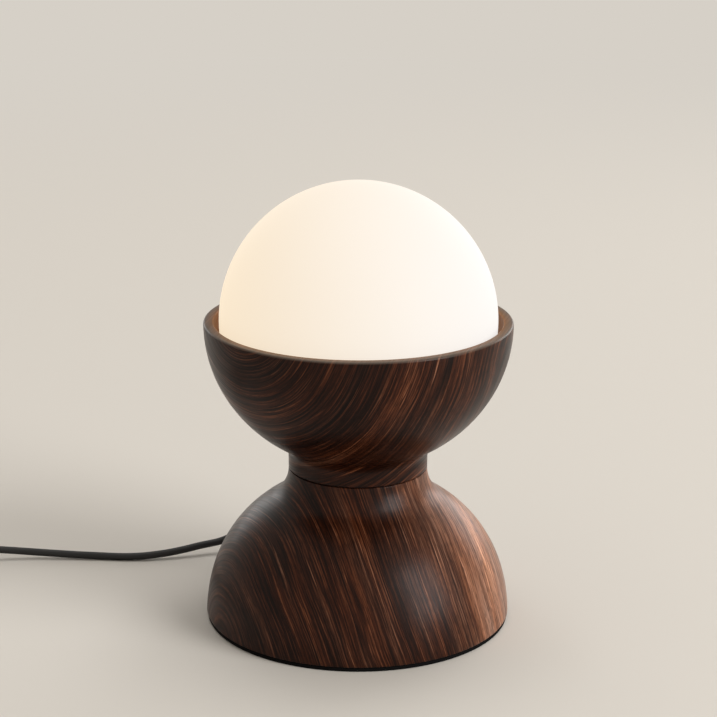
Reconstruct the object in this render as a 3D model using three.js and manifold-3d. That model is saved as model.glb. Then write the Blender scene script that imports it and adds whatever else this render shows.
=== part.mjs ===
// Hourglass table lamp: an opal glass globe sits in a turned timber bowl on a turned timber dome.
// Millimetres, +Z up, -Y to the front. The origin is on the table top under the middle of the lamp.
import * as THREE from 'three';
import { mergeVertices } from 'three/addons/utils/BufferGeometryUtils.js';
import Module from 'manifold-3d';

// Clearances
const FIT = 0.3; // round a piece that sits in a hole or recess
const SEAT = 0.1; // between faces that are laid on each other
const OVERRUN = 2; // how far a cutting tool reaches past the face it cuts
const MERGE_DISTANCE = 0.0001;

// Globe
const GLOBE_RADIUS = 90;
const GLASS_WALL = 2.5;
const MOUTH_RADIUS = 39.42; // outer edge of the mouth, which faces down

// Upper bowl
const GLOBE_GAP = 3.4; // between the globe and the bowl's inside
const RIM_WALL = 6.6;
const RIM_ABOVE_CENTRE = 0.2; // the rim stands this much over the globe's widest line
const RIM_ROUND = 1.5;
const RIM_EASE = 0.6;
const BOWL_FULLNESS = 2;
const BOWL_FOOT = 14.1; // timber between the seam and the recess for the gallery
const BOWL_POLE_DROP = 11; // the pole of the outer curve lies this far under the recess

// Neck
const NECK_WALL = 3.6; // timber round the recess
const NECK_UPPER_FILLET = 11;
const SEAM_HEIGHT = 102.5;
const SEAM_GAP = 0.8;
const SEAM_EASE = 0.35; // how far the timbers' edges are broken at the seam
const NECK_RING_INSET = 1.6;
const NECK_RING_BORE = 12;

// Lower dome
const DOME_FLARE = 0.7; // how much wider the dome's curve is than the rim
const DOME_COLLAR = 6.9; // the pole of the dome's curve lies this far under the seam
const DOME_FULLNESS = 2.17;
const DOME_SINK = 2.7; // the widest line of the dome's curve lies this far under the table top
const DOME_WALL = 16;
const DOME_EDGE_ROUND = 1.2;
const DOME_WEB_FLAT = 1.1; // the web's flat underside lies this far under the pole of the cavity

// Pad and weight
const PAD_THICKNESS = 2.6;
const PAD_INSET = 0.8;
const LEDGE_WALL = 8.4; // timber round the weight
const WEIGHT_THICKNESS = 7;
const SCREW_COUNT = 4;
const SCREW_INSET = 4; // from the weight's edge to its screws
const SCREW_RADIUS = 1.9;
const SCREW_LENGTH = 22;
const SCREW_HEAD_RADIUS = 3.7;
const SCREW_HEAD_DEPTH = 2.2;

// Threaded nipple with its nuts
const NIPPLE_RADIUS = 5;
const NIPPLE_BORE = 4;
const NIPPLE_TAIL = 1.4; // thread that shows under the lower nut
const NIPPLE_ENGAGEMENT = 5.8; // thread inside the lampholder's cap
const NUT_ACROSS_FLATS = 14;
const NUT_THICKNESS = 4;
const WASHER_RADIUS = 11;
const WASHER_THICKNESS = 1.4;

// Gallery pan and seat ring in the bowl
const GALLERY_THICKNESS = 1.2;
const GALLERY_RIM_HEIGHT = 3.4;
const GALLERY_FIT = 0.4;
const SEAT_RING_MARGIN = 0.58; // how far the ring reaches out past the mouth
const SEAT_RING_THICKNESS = 1.9;
const SEAT_LIP_WALL = 2.7;
const SEAT_LIP_HEIGHT = 4.2;

// Lampholder
const HOLDER_RADIUS = 14;
const HOLDER_NECK_RADIUS = 8.6;
const HOLDER_NECK_HEIGHT = 4.4;
const HOLDER_FLARE_HEIGHT = 4;
const HOLDER_CAP_HEIGHT = 16.4;
const HOLDER_WALL = 2.4;
const HOLDER_LIP = 2.2;
const INSERT_HEIGHT = 11.5;
const THREAD_SLEEVE_WALL = 1;
const THREAD_SLEEVE_RISE = 4.7; // from the insert up to the sleeve
const CONTACT_WIDTH = 5;
const CONTACT_THICKNESS = 0.6;
const CONTACT_LENGTH = 11;
const CONTACT_RISE = 4;

// Bulb
const BULB_CAP_RADIUS = 6.9;
const BULB_CAP_LENGTH = 22.5;
const BULB_TIP_RADIUS = 2.3;
const BULB_TIP_LENGTH = 1.6;
const BULB_RADIUS = 22.5;
const BULB_BASE_LENGTH = 22;
const BULB_BASE_NECK = 8.2;
const BULB_JOINT_INSET = 3.1; // the joint of base and diffuser is this much slimmer than the bulb
const BULB_SHOULDER_GAP = 0.6; // between the bulb's base and the lampholder

// Mains cord, its exit and the strain relief
const CORD_DIAMETER = 5.2;
const EXIT_AZIMUTH = THREE.MathUtils.degToRad(130);
const EXIT_ABOVE_WEIGHT = 5.3;
const EXIT_HOLE_RADIUS = 4.9;
const RELIEF_SEAT_DEPTH = 3.1; // from the dome's widest radius in to the flange's seat
const RELIEF_FLANGE_RADIUS = 7.4;
const RELIEF_FLANGE_THICKNESS = 2.8;
const RELIEF_TAPER_LENGTH = 24;
const RELIEF_TAPER_RADIUS = 4.9;
const RELIEF_TIP_RADIUS = 3.3;
const RELIEF_INNER_REACH = 1.7; // how far the bush stands into the cavity

// Clamp on the inner lead
const CLAMP_INSET = 22.7; // from the cavity's widest radius in to the clamp
const CLAMP_SPAN = 24;
const CLAMP_WIDTH = 9;
const CLAMP_THICKNESS = 2;
const CLAMP_SCREW_RADIUS = 1.5;
const CLAMP_SCREW_HEAD_RADIUS = 2.8;
const CLAMP_SCREW_HEAD_HEIGHT = 1.8;
const CLAMP_SCREW_LENGTH = 7;

// Inline switch
const SWITCH_END_X = -273;
const SWITCH_Y = 86;
const SWITCH_LENGTH = 62;
const SWITCH_WIDTH = 27;
const SWITCH_HEIGHT = 18;
const SWITCH_END_WIDTH = 11;
const SWITCH_TAPER = 15;
const SWITCH_EDGE = 1.6;
const SWITCH_END_SOLID = 17.5; // solid end on each side of the pocket
const SWITCH_POCKET_WIDTH = 13;
const SWITCH_FLOOR = 2.4;
const CONTACT_BLOCK_HEIGHT = 4.6;
const ROCKER_LENGTH = 18.6;
const ROCKER_WIDTH = 10.4;
const ROCKER_PROUD = 2.1; // how far a level rocker's ends stand out of the shell
const ROCKER_DISH = 1.2;
const ROCKER_KEEL = 2.6;
const ROCKER_PIVOT_DEPTH = 4.6;
const ROCKER_PIN_RADIUS = 1.2;
const ROCKER_PIN_LENGTH = 1.6;
const ROCKER_TILT = THREE.MathUtils.degToRad(8);
const SWITCH_SCREW_RADIUS = 1.2;
const SWITCH_SCREW_HEAD_RADIUS = 2.3;
const SWITCH_SCREW_HEAD_HEIGHT = 1.7;
const SWITCH_SCREW_LENGTH = 9;
const SWITCH_SCREW_RECESS = 2.4;
const SWITCH_SCREW_END_INSET = 13.5;
const SWITCH_SCREW_SIDE_INSET = 5.1;

// Coil of the cord that is put away, and its tie
const COIL_X = -374;
const COIL_TURNS = 7.25;
const COIL_INNER_RADIUS = 20.8;
const COIL_TURN_GAP = 0.5;
const COIL_CLIMB_TURNS = 0.5;
const TIE_THICKNESS = 0.9;
const TIE_WIDTH = 9;
const TIE_GAP = 0.45;
const TIE_AZIMUTH = THREE.MathUtils.degToRad(300);

// Plug
const PLUG_LEAD = 30; // cord between the coil and the plug
const PLUG_WIDTH = 35;
const PLUG_THICKNESS = 14;
const PLUG_FRONT_LENGTH = 12;
const PLUG_SHOULDER_LENGTH = 22;
const PLUG_WAIST_WIDTH = 11;
const PLUG_EDGE = 2;
const PLUG_RELIEF_LENGTH = 20;
const PLUG_RELIEF_RADIUS = 4.6;
const PLUG_RELIEF_TIP = 3.2;
const PIN_SPACING = 19;
const PIN_RADIUS = 2;
const PIN_LENGTH = 19;
const SLEEVE_LENGTH = 10;
const SLEEVE_RADIUS = 1.95;
const PIN_ROUND = 1;

// Facets
const BODY_STEPS = 40;
const SMALL_STEPS = 20;
const TINY_STEPS = 12;
const COIL_STEPS_PER_TURN = 24;
const COIL_SIDES = 6;
const CORD_SIDES = 8;
const CORD_STEP_IN_DIAMETERS = 2.4;

// Where the inner lead rises from the weight to the nipple, as shares of its distance and of its rise
const LEAD_RISE_SHARES = [[0.6, 0.12], [0.33, 0.36], [0.1, 0.72]];

// Where the cord comes down from the switch to the coil, as shares of its way
const COIL_LEAD_SHARES = [0.3, 0.7];

// The cord's route from the strain relief over the table to the switch, chosen by hand
const CORD_ROUTE = [
  [-87.7, 102, 13.3],
  [-93, 102.4, 10.9],
  [-98.6, 101.4, 8.9],
  [-105, 99.4, 8],
  [-112.2, 97, 7.3],
  [-123.8, 93, 5.7],
  [-139.6, 89, 3.9],
  [-159.4, 86.6, 2.7],
  [-186.8, 88, 2.7],
  [-214.4, 89.2, 3.7],
  [-244.5, 88.4, 6.1],
  [-256.5, 86.6, 7.6],
  [-266, 86, 8.9],
];

const FINISHES = {
  timber: { color: '#4f2f22', roughness: 0.38, metalness: 0 },
  opal: { color: '#f7ead0', roughness: 0.3, metalness: 0 },
  foam: { color: '#151414', roughness: 0.9, metalness: 0 },
  steel: { color: '#8b8d90', roughness: 0.4, metalness: 1 },
  castIron: { color: '#3a3a3c', roughness: 0.7, metalness: 0.6 },
  zinc: { color: '#b9bcc0', roughness: 0.35, metalness: 1 },
  brass: { color: '#c9a34e', roughness: 0.3, metalness: 1 },
  silicone: { color: '#d9d6cf', roughness: 0.7, metalness: 0 },
  whitePlastic: { color: '#ece8df', roughness: 0.45, metalness: 0 },
  diffuser: { color: '#f5f0e4', roughness: 0.4, metalness: 0 },
  blackPlastic: { color: '#191818', roughness: 0.45, metalness: 0 },
  cordJacket: { color: '#141313', roughness: 0.6, metalness: 0 },
  fibre: { color: '#0f0e0e', roughness: 0.9, metalness: 0 },
};

const wasm = await Module();
wasm.setup();

// Keeps positions only, shares equal points and drops triangles that have no area.
function weld(geometry) {
  const bare = geometry.clone();
  for (const name of Object.keys(bare.attributes)) {
    if (name !== 'position') bare.deleteAttribute(name);
  }
  const welded = mergeVertices(bare, MERGE_DISTANCE);
  const corners = welded.index.array;
  const kept = [];
  for (let i = 0; i < corners.length; i += 3) {
    const [a, b, c] = corners.slice(i, i + 3);
    if (a !== b && b !== c && c !== a) kept.push(a, b, c);
  }
  welded.setIndex(kept);
  return welded;
}

function toSolid(geometry) {
  const welded = weld(geometry);
  return new wasm.Manifold(new wasm.Mesh({
    numProp: 3,
    vertProperties: new Float32Array(welded.attributes.position.array),
    triVerts: new Uint32Array(welded.index.array),
  }));
}

function toGeometry(solid) {
  const mesh = solid.getMesh();
  const geometry = new THREE.BufferGeometry();
  geometry.setAttribute('position', new THREE.BufferAttribute(mesh.vertProperties, 3));
  geometry.setIndex(new THREE.BufferAttribute(mesh.triVerts, 1));
  return geometry;
}

function cut(body, ...tools) {
  return toGeometry(tools.reduce((solid, tool) => solid.subtract(toSolid(tool)), toSolid(body)));
}

function join(body, ...others) {
  return toGeometry(others.reduce((solid, other) => solid.add(toSolid(other)), toSolid(body)));
}

function keepInside(body, keeper) {
  return toGeometry(toSolid(body).intersect(toSolid(keeper)));
}

// A closed outline of [radius, height] points, drawn anticlockwise, turned about the Z axis.
function revolve(outline, steps = BODY_STEPS) {
  const points = outline.map(([radius, height]) => new THREE.Vector2(Math.max(radius, 0), height));
  points.push(points[0].clone());
  return weld(new THREE.LatheGeometry(points, steps).rotateX(Math.PI / 2));
}

function ring(inner, outer, low, high, steps = SMALL_STEPS) {
  return revolve([[inner, low], [outer, low], [outer, high], [inner, high]], steps);
}

function disc(outer, low, high, steps = SMALL_STEPS) {
  return ring(0, outer, low, high, steps);
}

function block(sizeX, sizeY, sizeZ, x, y, z) {
  return new THREE.BoxGeometry(sizeX, sizeY, sizeZ).translate(x, y, z);
}

function hexagonNut(low) {
  const corner = NUT_ACROSS_FLATS / Math.sqrt(3);
  const outside = new THREE.CylinderGeometry(corner, corner, NUT_THICKNESS, 6)
    .rotateX(Math.PI / 2)
    .translate(0, 0, low + NUT_THICKNESS / 2);
  const bore = disc(NIPPLE_RADIUS + FIT, low - OVERRUN, low + NUT_THICKNESS + OVERRUN);
  return cut(outside, bore);
}

function arc(centre, radius, from, to, steps) {
  const points = [];
  for (let i = 0; i <= steps; i += 1) {
    const angle = from + (to - from) * i / steps;
    points.push([centre[0] + radius * Math.cos(angle), centre[1] + radius * Math.sin(angle)]);
  }
  return points;
}

// A quarter of a superellipse about [0, middle]: angle 0 is its widest point, angle 90 degrees its pole.
// rise is negative for a curve that hangs down from its widest line.
function superellipse(radius, rise, fullness, middle) {
  const power = 2 / fullness;
  const place = (angle) => [
    radius * Math.max(Math.cos(angle), 0) ** power,
    middle + rise * Math.max(Math.sin(angle), 0) ** power,
  ];
  const outward = (angle) => {
    const [r, z] = place(angle);
    const alongRadius = (r / radius) ** (fullness - 1) / radius;
    const alongHeight = ((z - middle) / rise) ** (fullness - 1) / rise;
    const length = Math.hypot(alongRadius, alongHeight);
    return [alongRadius / length, alongHeight / length];
  };
  return { place, outward };
}

// The angle on a curve at which a value that falls along it reaches its target.
function angleWhere(value, target) {
  let low = 0;
  let high = Math.PI / 2;
  for (let i = 0; i < 50; i += 1) {
    const middle = (low + high) / 2;
    if (value(middle) > target) low = middle;
    else high = middle;
  }
  return (low + high) / 2;
}

// The fillet that a ball of the given radius leaves between the curve and the neck.
function neckFillet(curve, ball) {
  const centreAt = (angle) => {
    const [r, z] = curve.place(angle);
    const [outR, outZ] = curve.outward(angle);
    return [r + outR * ball, z + outZ * ball];
  };
  const angle = angleWhere((a) => centreAt(a)[0], neckRadius + ball);
  const centre = centreAt(angle);
  const [r, z] = curve.place(angle);
  const touching = Math.atan2(z - centre[1], r - centre[0]);
  return { angle, centre, touching: touching < 0 ? touching + 2 * Math.PI : touching };
}

// The fillet that starts upright at a height on the neck and runs out onto the curve, whatever its radius.
function filletFrom(height, curve) {
  const ballAt = (angle) => (height - curve.place(angle)[1]) / curve.outward(angle)[1];
  const angle = angleWhere((a) => {
    const ball = ballAt(a);
    return curve.place(a)[0] + curve.outward(a)[0] * ball - neckRadius - ball;
  }, 0);
  const ball = ballAt(angle);
  const [r, z] = curve.place(angle);
  const centre = [neckRadius + ball, height];
  return { angle, ball, centre, touching: 2 * Math.PI + Math.atan2(z - height, r - centre[0]) };
}

function curvePoints(curve, from, to, steps) {
  return Array.from({ length: steps + 1 }, (_, i) => curve.place(from + (to - from) * i / steps));
}

// Sizes and heights that follow from the stack of pieces, from the table up
const rimInnerRadius = GLOBE_RADIUS + GLOBE_GAP;
const rimRadius = rimInnerRadius + RIM_WALL;
const domeRadius = rimRadius + DOME_FLARE;
const seatRingRadius = MOUTH_RADIUS + SEAT_RING_MARGIN;
const galleryRadius = seatRingRadius + GALLERY_FIT + GALLERY_THICKNESS;
const recessRadius = galleryRadius + GALLERY_FIT;
const neckRadius = recessRadius + NECK_WALL;
const cavityRadius = domeRadius - DOME_WALL;
const weightRadius = domeRadius - LEDGE_WALL - FIT;
const screwCircle = weightRadius - SCREW_INSET;
const nippleHole = NIPPLE_RADIUS + FIT;
const leadRadius = CORD_DIAMETER / 2;
const sleeveRadius = BULB_CAP_RADIUS + FIT + THREAD_SLEEVE_WALL;
const bulbJointRadius = BULB_RADIUS - BULB_JOINT_INSET;

const weightBottom = PAD_THICKNESS + SEAT;
const weightTop = weightBottom + WEIGHT_THICKNESS;
const ledgeHeight = weightTop + SEAT;
const domeTop = SEAM_HEIGHT - SEAM_GAP / 2;
const domeRise = SEAM_HEIGHT - DOME_COLLAR + DOME_SINK;
const cavityRise = domeRise - DOME_WALL;
const webHeight = cavityRise - DOME_SINK - DOME_WEB_FLAT;
const bowlBottom = SEAM_HEIGHT + SEAM_GAP / 2;
const recessHeight = bowlBottom + BOWL_FOOT;

const washerBottom = webHeight - SEAT - WASHER_THICKNESS;
const lowerNutBottom = washerBottom - SEAT - NUT_THICKNESS;
const galleryBottom = recessHeight + SEAT;
const galleryTop = galleryBottom + GALLERY_THICKNESS;
const upperNutBottom = galleryTop + SEAT;
const seatRingBottom = galleryTop + SEAT;
const globeMouth = seatRingBottom + SEAT_RING_THICKNESS + FIT;
const globeCentre = globeMouth + Math.sqrt(GLOBE_RADIUS ** 2 - MOUTH_RADIUS ** 2);
const rimHeight = globeCentre + RIM_ABOVE_CENTRE;
const bowlWidest = rimHeight - RIM_ROUND;
const bowlDepth = bowlWidest - (recessHeight - BOWL_POLE_DROP);

const holderBottom = upperNutBottom + NUT_THICKNESS + FIT;
const nippleBottom = lowerNutBottom - NIPPLE_TAIL;
const nippleTop = holderBottom + NIPPLE_ENGAGEMENT;
const insertBottom = nippleTop + CORD_DIAMETER;
const insertTop = insertBottom + INSERT_HEIGHT;
const contactTop = insertTop + SEAT + CONTACT_RISE;
const bulbTipBottom = contactTop + FIT;
const bulbCapBottom = bulbTipBottom + BULB_TIP_LENGTH + SEAT;
const bulbCapTop = bulbCapBottom + BULB_CAP_LENGTH;
const shellBottom = holderBottom + HOLDER_CAP_HEIGHT + SEAT;
const shellTop = bulbCapTop + SEAT - BULB_SHOULDER_GAP;

const exitHeight = weightTop + EXIT_ABOVE_WEIGHT;
const reliefSeat = domeRadius - RELIEF_SEAT_DEPTH;
const reliefInnerEnd = cavityRadius - RELIEF_INNER_REACH;
const clampPlace = cavityRadius - CLAMP_INSET;

const bowlCurve = superellipse(rimRadius, -bowlDepth, BOWL_FULLNESS, bowlWidest);
const domeCurve = superellipse(domeRadius, domeRise, DOME_FULLNESS, -DOME_SINK);
const cavityCurve = superellipse(cavityRadius, cavityRise, DOME_FULLNESS, -DOME_SINK);

// Turned timber bowl: its inside runs parallel to the globe, over a recess for the gallery.
function upperBowl() {
  const fillet = neckFillet(bowlCurve, NECK_UPPER_FILLET);
  const insideFrom = -Math.asin((RIM_EASE - RIM_ABOVE_CENTRE) / rimInnerRadius);
  const insideTo = -Math.acos(recessRadius / rimInnerRadius);
  return revolve([
    [nippleHole, bowlBottom],
    [neckRadius - SEAM_EASE, bowlBottom],
    [neckRadius, bowlBottom + SEAM_EASE],
    ...arc(fillet.centre, NECK_UPPER_FILLET, Math.PI, fillet.touching, 3),
    ...curvePoints(bowlCurve, fillet.angle, 0, 9).slice(1),
    ...arc([rimRadius - RIM_ROUND, rimHeight - RIM_ROUND], RIM_ROUND, 0, Math.PI / 2, 2).slice(1),
    [rimInnerRadius + RIM_EASE, rimHeight],
    ...arc([0, globeCentre], rimInnerRadius, insideFrom, insideTo, 7),
    [recessRadius, recessHeight],
    [nippleHole, recessHeight],
  ]);
}

// A round cutting tool along the cord's exit, from one distance to another from the lamp's axis.
function exitTool(radius, from, to) {
  return disc(radius, from, to)
    .rotateY(Math.PI / 2)
    .translate(0, 0, exitHeight)
    .rotateZ(EXIT_AZIMUTH);
}

function screwPlaces() {
  return Array.from({ length: SCREW_COUNT }, (_, i) => {
    const angle = i * 2 * Math.PI / SCREW_COUNT;
    return [screwCircle * Math.cos(angle), screwCircle * Math.sin(angle)];
  });
}

// Turned timber dome, hollowed from below, with a ledge for the weight and a web under the neck.
function lowerDome() {
  const fillet = filletFrom(domeTop - SEAM_EASE, domeCurve);
  const edge = weightBottom + DOME_EDGE_ROUND;
  const edgeAngle = angleWhere((a) => -domeCurve.place(a)[1], -edge);
  const edgeRadius = domeCurve.place(edgeAngle)[0];
  const ledgeAngle = angleWhere((a) => -cavityCurve.place(a)[1], -ledgeHeight);
  const webAngle = angleWhere((a) => -cavityCurve.place(a)[1], -webHeight);
  const turned = revolve([
    [weightRadius + FIT, weightBottom],
    ...arc([edgeRadius - DOME_EDGE_ROUND, edge], DOME_EDGE_ROUND, -Math.PI / 2, 0, 2),
    ...curvePoints(domeCurve, edgeAngle, fillet.angle, 10).slice(1),
    ...arc(fillet.centre, fillet.ball, fillet.touching, Math.PI, 5).slice(1),
    [neckRadius - SEAM_EASE, domeTop],
    [nippleHole, domeTop],
    [nippleHole, webHeight],
    ...curvePoints(cavityCurve, webAngle, ledgeAngle, 5),
    [weightRadius + FIT, ledgeHeight],
  ]);
  const pilots = screwPlaces().map(([x, y]) => (
    disc(SCREW_RADIUS + FIT, ledgeHeight - OVERRUN, weightBottom + SCREW_LENGTH + FIT, TINY_STEPS)
      .translate(x, y, 0)
  ));
  return cut(
    turned,
    exitTool(EXIT_HOLE_RADIUS, reliefInnerEnd - DOME_WALL, domeRadius + OVERRUN),
    exitTool(RELIEF_FLANGE_RADIUS + FIT, reliefSeat - SEAT, domeRadius + OVERRUN),
    ...pilots,
  );
}

function neckRing() {
  return ring(NECK_RING_BORE, neckRadius - NECK_RING_INSET, domeTop + SEAT, bowlBottom - SEAT);
}

function basePad() {
  return disc(domeRadius - PAD_INSET, 0, PAD_THICKNESS, BODY_STEPS);
}

function countersunk(extra) {
  const head = SCREW_HEAD_RADIUS + extra;
  const shank = SCREW_RADIUS + extra;
  return revolve([
    [0, weightBottom - extra],
    [head, weightBottom - extra],
    [head, weightBottom],
    [shank, weightBottom + SCREW_HEAD_DEPTH],
    [shank, weightBottom + SCREW_LENGTH],
    [0, weightBottom + SCREW_LENGTH],
  ], TINY_STEPS);
}

function baseWeight() {
  const clampHoles = [-1, 1].map((side) => (
    disc(CLAMP_SCREW_RADIUS + FIT, weightTop - CLAMP_SCREW_LENGTH - FIT, weightTop + OVERRUN, TINY_STEPS)
      .translate(clampPlace, side * clampScrewOffset, 0)
      .rotateZ(EXIT_AZIMUTH)
  ));
  const screwHoles = screwPlaces().map(([x, y]) => countersunk(FIT).translate(x, y, 0));
  return cut(disc(weightRadius, weightBottom, weightTop, BODY_STEPS), ...screwHoles, ...clampHoles);
}

function nipple() {
  return ring(NIPPLE_BORE, NIPPLE_RADIUS, nippleBottom, nippleTop);
}

function galleryPan() {
  return revolve([
    [nippleHole, galleryBottom],
    [galleryRadius, galleryBottom],
    [galleryRadius, galleryBottom + GALLERY_RIM_HEIGHT],
    [galleryRadius - GALLERY_THICKNESS, galleryBottom + GALLERY_RIM_HEIGHT],
    [galleryRadius - GALLERY_THICKNESS, galleryTop],
    [nippleHole, galleryTop],
  ], SMALL_STEPS);
}

// The globe stands with its mouth on this ring, and the lip inside the mouth centres it.
function seatRing() {
  const mouthBore = Math.sqrt((GLOBE_RADIUS - GLASS_WALL) ** 2 - (globeCentre - globeMouth) ** 2);
  const lip = mouthBore - 2 * FIT;
  const bore = lip - SEAT_LIP_WALL;
  return revolve([
    [bore, seatRingBottom],
    [seatRingRadius, seatRingBottom],
    [seatRingRadius, seatRingBottom + SEAT_RING_THICKNESS],
    [lip, seatRingBottom + SEAT_RING_THICKNESS],
    [lip, seatRingBottom + SEAT_RING_THICKNESS + SEAT_LIP_HEIGHT],
    [bore, seatRingBottom + SEAT_RING_THICKNESS + SEAT_LIP_HEIGHT],
  ], SMALL_STEPS);
}

function globe() {
  const depth = globeCentre - globeMouth;
  const innerRadius = GLOBE_RADIUS - GLASS_WALL;
  const outerFrom = -Math.asin(depth / GLOBE_RADIUS);
  const innerFrom = -Math.asin(depth / innerRadius);
  return revolve([
    ...arc([0, globeCentre], GLOBE_RADIUS, outerFrom, 0, 6),
    ...arc([0, globeCentre], GLOBE_RADIUS, 0, Math.PI / 2, 8).slice(1),
    ...arc([0, globeCentre], innerRadius, Math.PI / 2, innerFrom, 11),
  ]);
}

// Lampholder, from the cap on the nipple to the lip of the shell
function holderCap() {
  const shoulder = holderBottom + HOLDER_NECK_HEIGHT;
  const flare = shoulder + HOLDER_FLARE_HEIGHT;
  const top = holderBottom + HOLDER_CAP_HEIGHT;
  return revolve([
    [nippleHole, holderBottom],
    [HOLDER_NECK_RADIUS, holderBottom],
    [HOLDER_NECK_RADIUS, shoulder],
    [HOLDER_RADIUS, flare],
    [HOLDER_RADIUS, top],
    [HOLDER_RADIUS - HOLDER_WALL, top],
    [HOLDER_RADIUS - HOLDER_WALL, flare],
    [nippleHole, shoulder],
  ], SMALL_STEPS);
}

function holderShell() {
  const sleeveHole = sleeveRadius + FIT;
  return revolve([
    [HOLDER_RADIUS - HOLDER_WALL, shellBottom],
    [HOLDER_RADIUS, shellBottom],
    [HOLDER_RADIUS, shellTop - HOLDER_LIP],
    [HOLDER_RADIUS - HOLDER_LIP / 2, shellTop],
    [BULB_CAP_RADIUS + 2 * FIT, shellTop],
    [BULB_CAP_RADIUS + 2 * FIT, shellTop - HOLDER_LIP],
    [sleeveHole, shellTop - HOLDER_LIP],
    [sleeveHole, insertTop + SEAT],
    [HOLDER_RADIUS - HOLDER_WALL, insertTop + SEAT],
  ], SMALL_STEPS);
}

function holderInsert() {
  const body = disc(HOLDER_RADIUS - HOLDER_WALL - FIT, insertBottom, insertTop);
  const terminals = [-1, 1].map((side) => block(
    HOLDER_WALL, HOLDER_WALL, INSERT_HEIGHT, side * BULB_CAP_RADIUS, 0, insertBottom,
  ));
  return cut(body, ...terminals);
}

// The threaded sleeve is also the side contact: the bulb's cap screws into it.
function threadSleeve() {
  const top = shellTop - HOLDER_LIP - SEAT;
  return ring(BULB_CAP_RADIUS + FIT, sleeveRadius, insertTop + THREAD_SLEEVE_RISE, top);
}

// Springy strip with a raised middle that meets the bulb's tip
function centreContact() {
  const half = CONTACT_LENGTH / 2;
  const crown = half / 3;
  const outline = new THREE.Shape([
    new THREE.Vector2(-half, 0),
    new THREE.Vector2(-crown, 0),
    new THREE.Vector2(crown, CONTACT_RISE - CONTACT_THICKNESS),
    new THREE.Vector2(half, CONTACT_RISE - CONTACT_THICKNESS),
    new THREE.Vector2(half, CONTACT_RISE),
    new THREE.Vector2(crown - CONTACT_THICKNESS, CONTACT_RISE),
    new THREE.Vector2(-crown - CONTACT_THICKNESS, CONTACT_THICKNESS),
    new THREE.Vector2(-half, CONTACT_THICKNESS),
  ]);
  return new THREE.ExtrudeGeometry(outline, { depth: CONTACT_WIDTH, bevelEnabled: false })
    .rotateX(Math.PI / 2)
    .translate(0, CONTACT_WIDTH / 2, insertTop + SEAT);
}

// Bulb, a golf-ball form on a small screw cap
function bulbTip() {
  return disc(BULB_TIP_RADIUS, bulbTipBottom, bulbTipBottom + BULB_TIP_LENGTH, TINY_STEPS);
}

function bulbCap() {
  return revolve([
    [0, bulbCapBottom],
    [BULB_TIP_RADIUS * 2, bulbCapBottom],
    [BULB_CAP_RADIUS, bulbCapBottom + BULB_TIP_RADIUS],
    [BULB_CAP_RADIUS, bulbCapTop],
    [0, bulbCapTop],
  ], SMALL_STEPS);
}

function bulbBase() {
  const low = bulbCapTop + SEAT;
  const high = low + BULB_BASE_LENGTH;
  return revolve([
    [0, low],
    [BULB_BASE_NECK, low],
    [BULB_BASE_NECK, low + BULB_BASE_NECK / 2],
    [bulbJointRadius - BULB_TIP_RADIUS, high - BULB_BASE_NECK / 2],
    [bulbJointRadius, high],
    [0, high],
  ], SMALL_STEPS);
}

function bulbDiffuser() {
  const low = bulbCapTop + SEAT + BULB_BASE_LENGTH + SEAT;
  const from = -Math.acos(bulbJointRadius / BULB_RADIUS);
  const middle = low - BULB_RADIUS * Math.sin(from);
  return revolve([
    [0, low],
    ...arc([0, middle], BULB_RADIUS, from, 0, 2),
    ...arc([0, middle], BULB_RADIUS, 0, Math.PI / 2, 6).slice(1),
  ], SMALL_STEPS);
}

// A round tube through the given points, closed by flat ends, as a cord of the given diameter.
function cordAlong(points, diameter, sides) {
  const curve = new THREE.CatmullRomCurve3(points.map((p) => new THREE.Vector3(...p)));
  const section = new THREE.Shape();
  for (let i = 0; i < sides; i += 1) {
    const angle = 2 * Math.PI * (i + 0.5) / sides;
    const corner = [diameter / 2 * Math.cos(angle), diameter / 2 * Math.sin(angle)];
    if (i === 0) section.moveTo(...corner);
    else section.lineTo(...corner);
  }
  section.closePath();
  const steps = Math.ceil(curve.getLength() / (CORD_STEP_IN_DIAMETERS * diameter));
  return weld(new THREE.ExtrudeGeometry(section, { steps, bevelEnabled: false, extrudePath: curve }));
}

// Cord clamp on the weight: a saddle over the lead, held by two screws
const clampScrewOffset = CLAMP_SPAN / 2 - CLAMP_SCREW_HEAD_RADIUS - FIT;

function clampSaddle() {
  const half = CLAMP_SPAN / 2;
  const hollow = leadRadius + FIT;
  const outline = new THREE.Shape();
  outline.moveTo(-half, 0);
  outline.lineTo(-hollow, 0);
  outline.lineTo(-hollow, leadRadius);
  outline.absarc(0, leadRadius, hollow, Math.PI, 0, true);
  outline.lineTo(hollow, 0);
  outline.lineTo(half, 0);
  outline.lineTo(half, CLAMP_THICKNESS);
  outline.lineTo(hollow + CLAMP_THICKNESS, CLAMP_THICKNESS);
  outline.lineTo(hollow + CLAMP_THICKNESS, leadRadius);
  outline.absarc(0, leadRadius, hollow + CLAMP_THICKNESS, 0, Math.PI, false);
  outline.lineTo(-hollow - CLAMP_THICKNESS, CLAMP_THICKNESS);
  outline.lineTo(-half, CLAMP_THICKNESS);
  const saddle = new THREE.ExtrudeGeometry(outline, {
    depth: CLAMP_WIDTH, bevelEnabled: false, curveSegments: 6,
  });
  saddle.translate(0, 0, -CLAMP_WIDTH / 2).rotateX(Math.PI / 2).rotateZ(Math.PI / 2);
  saddle.translate(clampPlace, 0, weightTop + SEAT);
  const holes = [-1, 1].map((side) => (
    disc(CLAMP_SCREW_RADIUS + FIT, weightTop - OVERRUN, weightTop + CLAMP_THICKNESS + OVERRUN, TINY_STEPS)
      .translate(clampPlace, side * clampScrewOffset, 0)
  ));
  return cut(saddle, ...holes);
}

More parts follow.
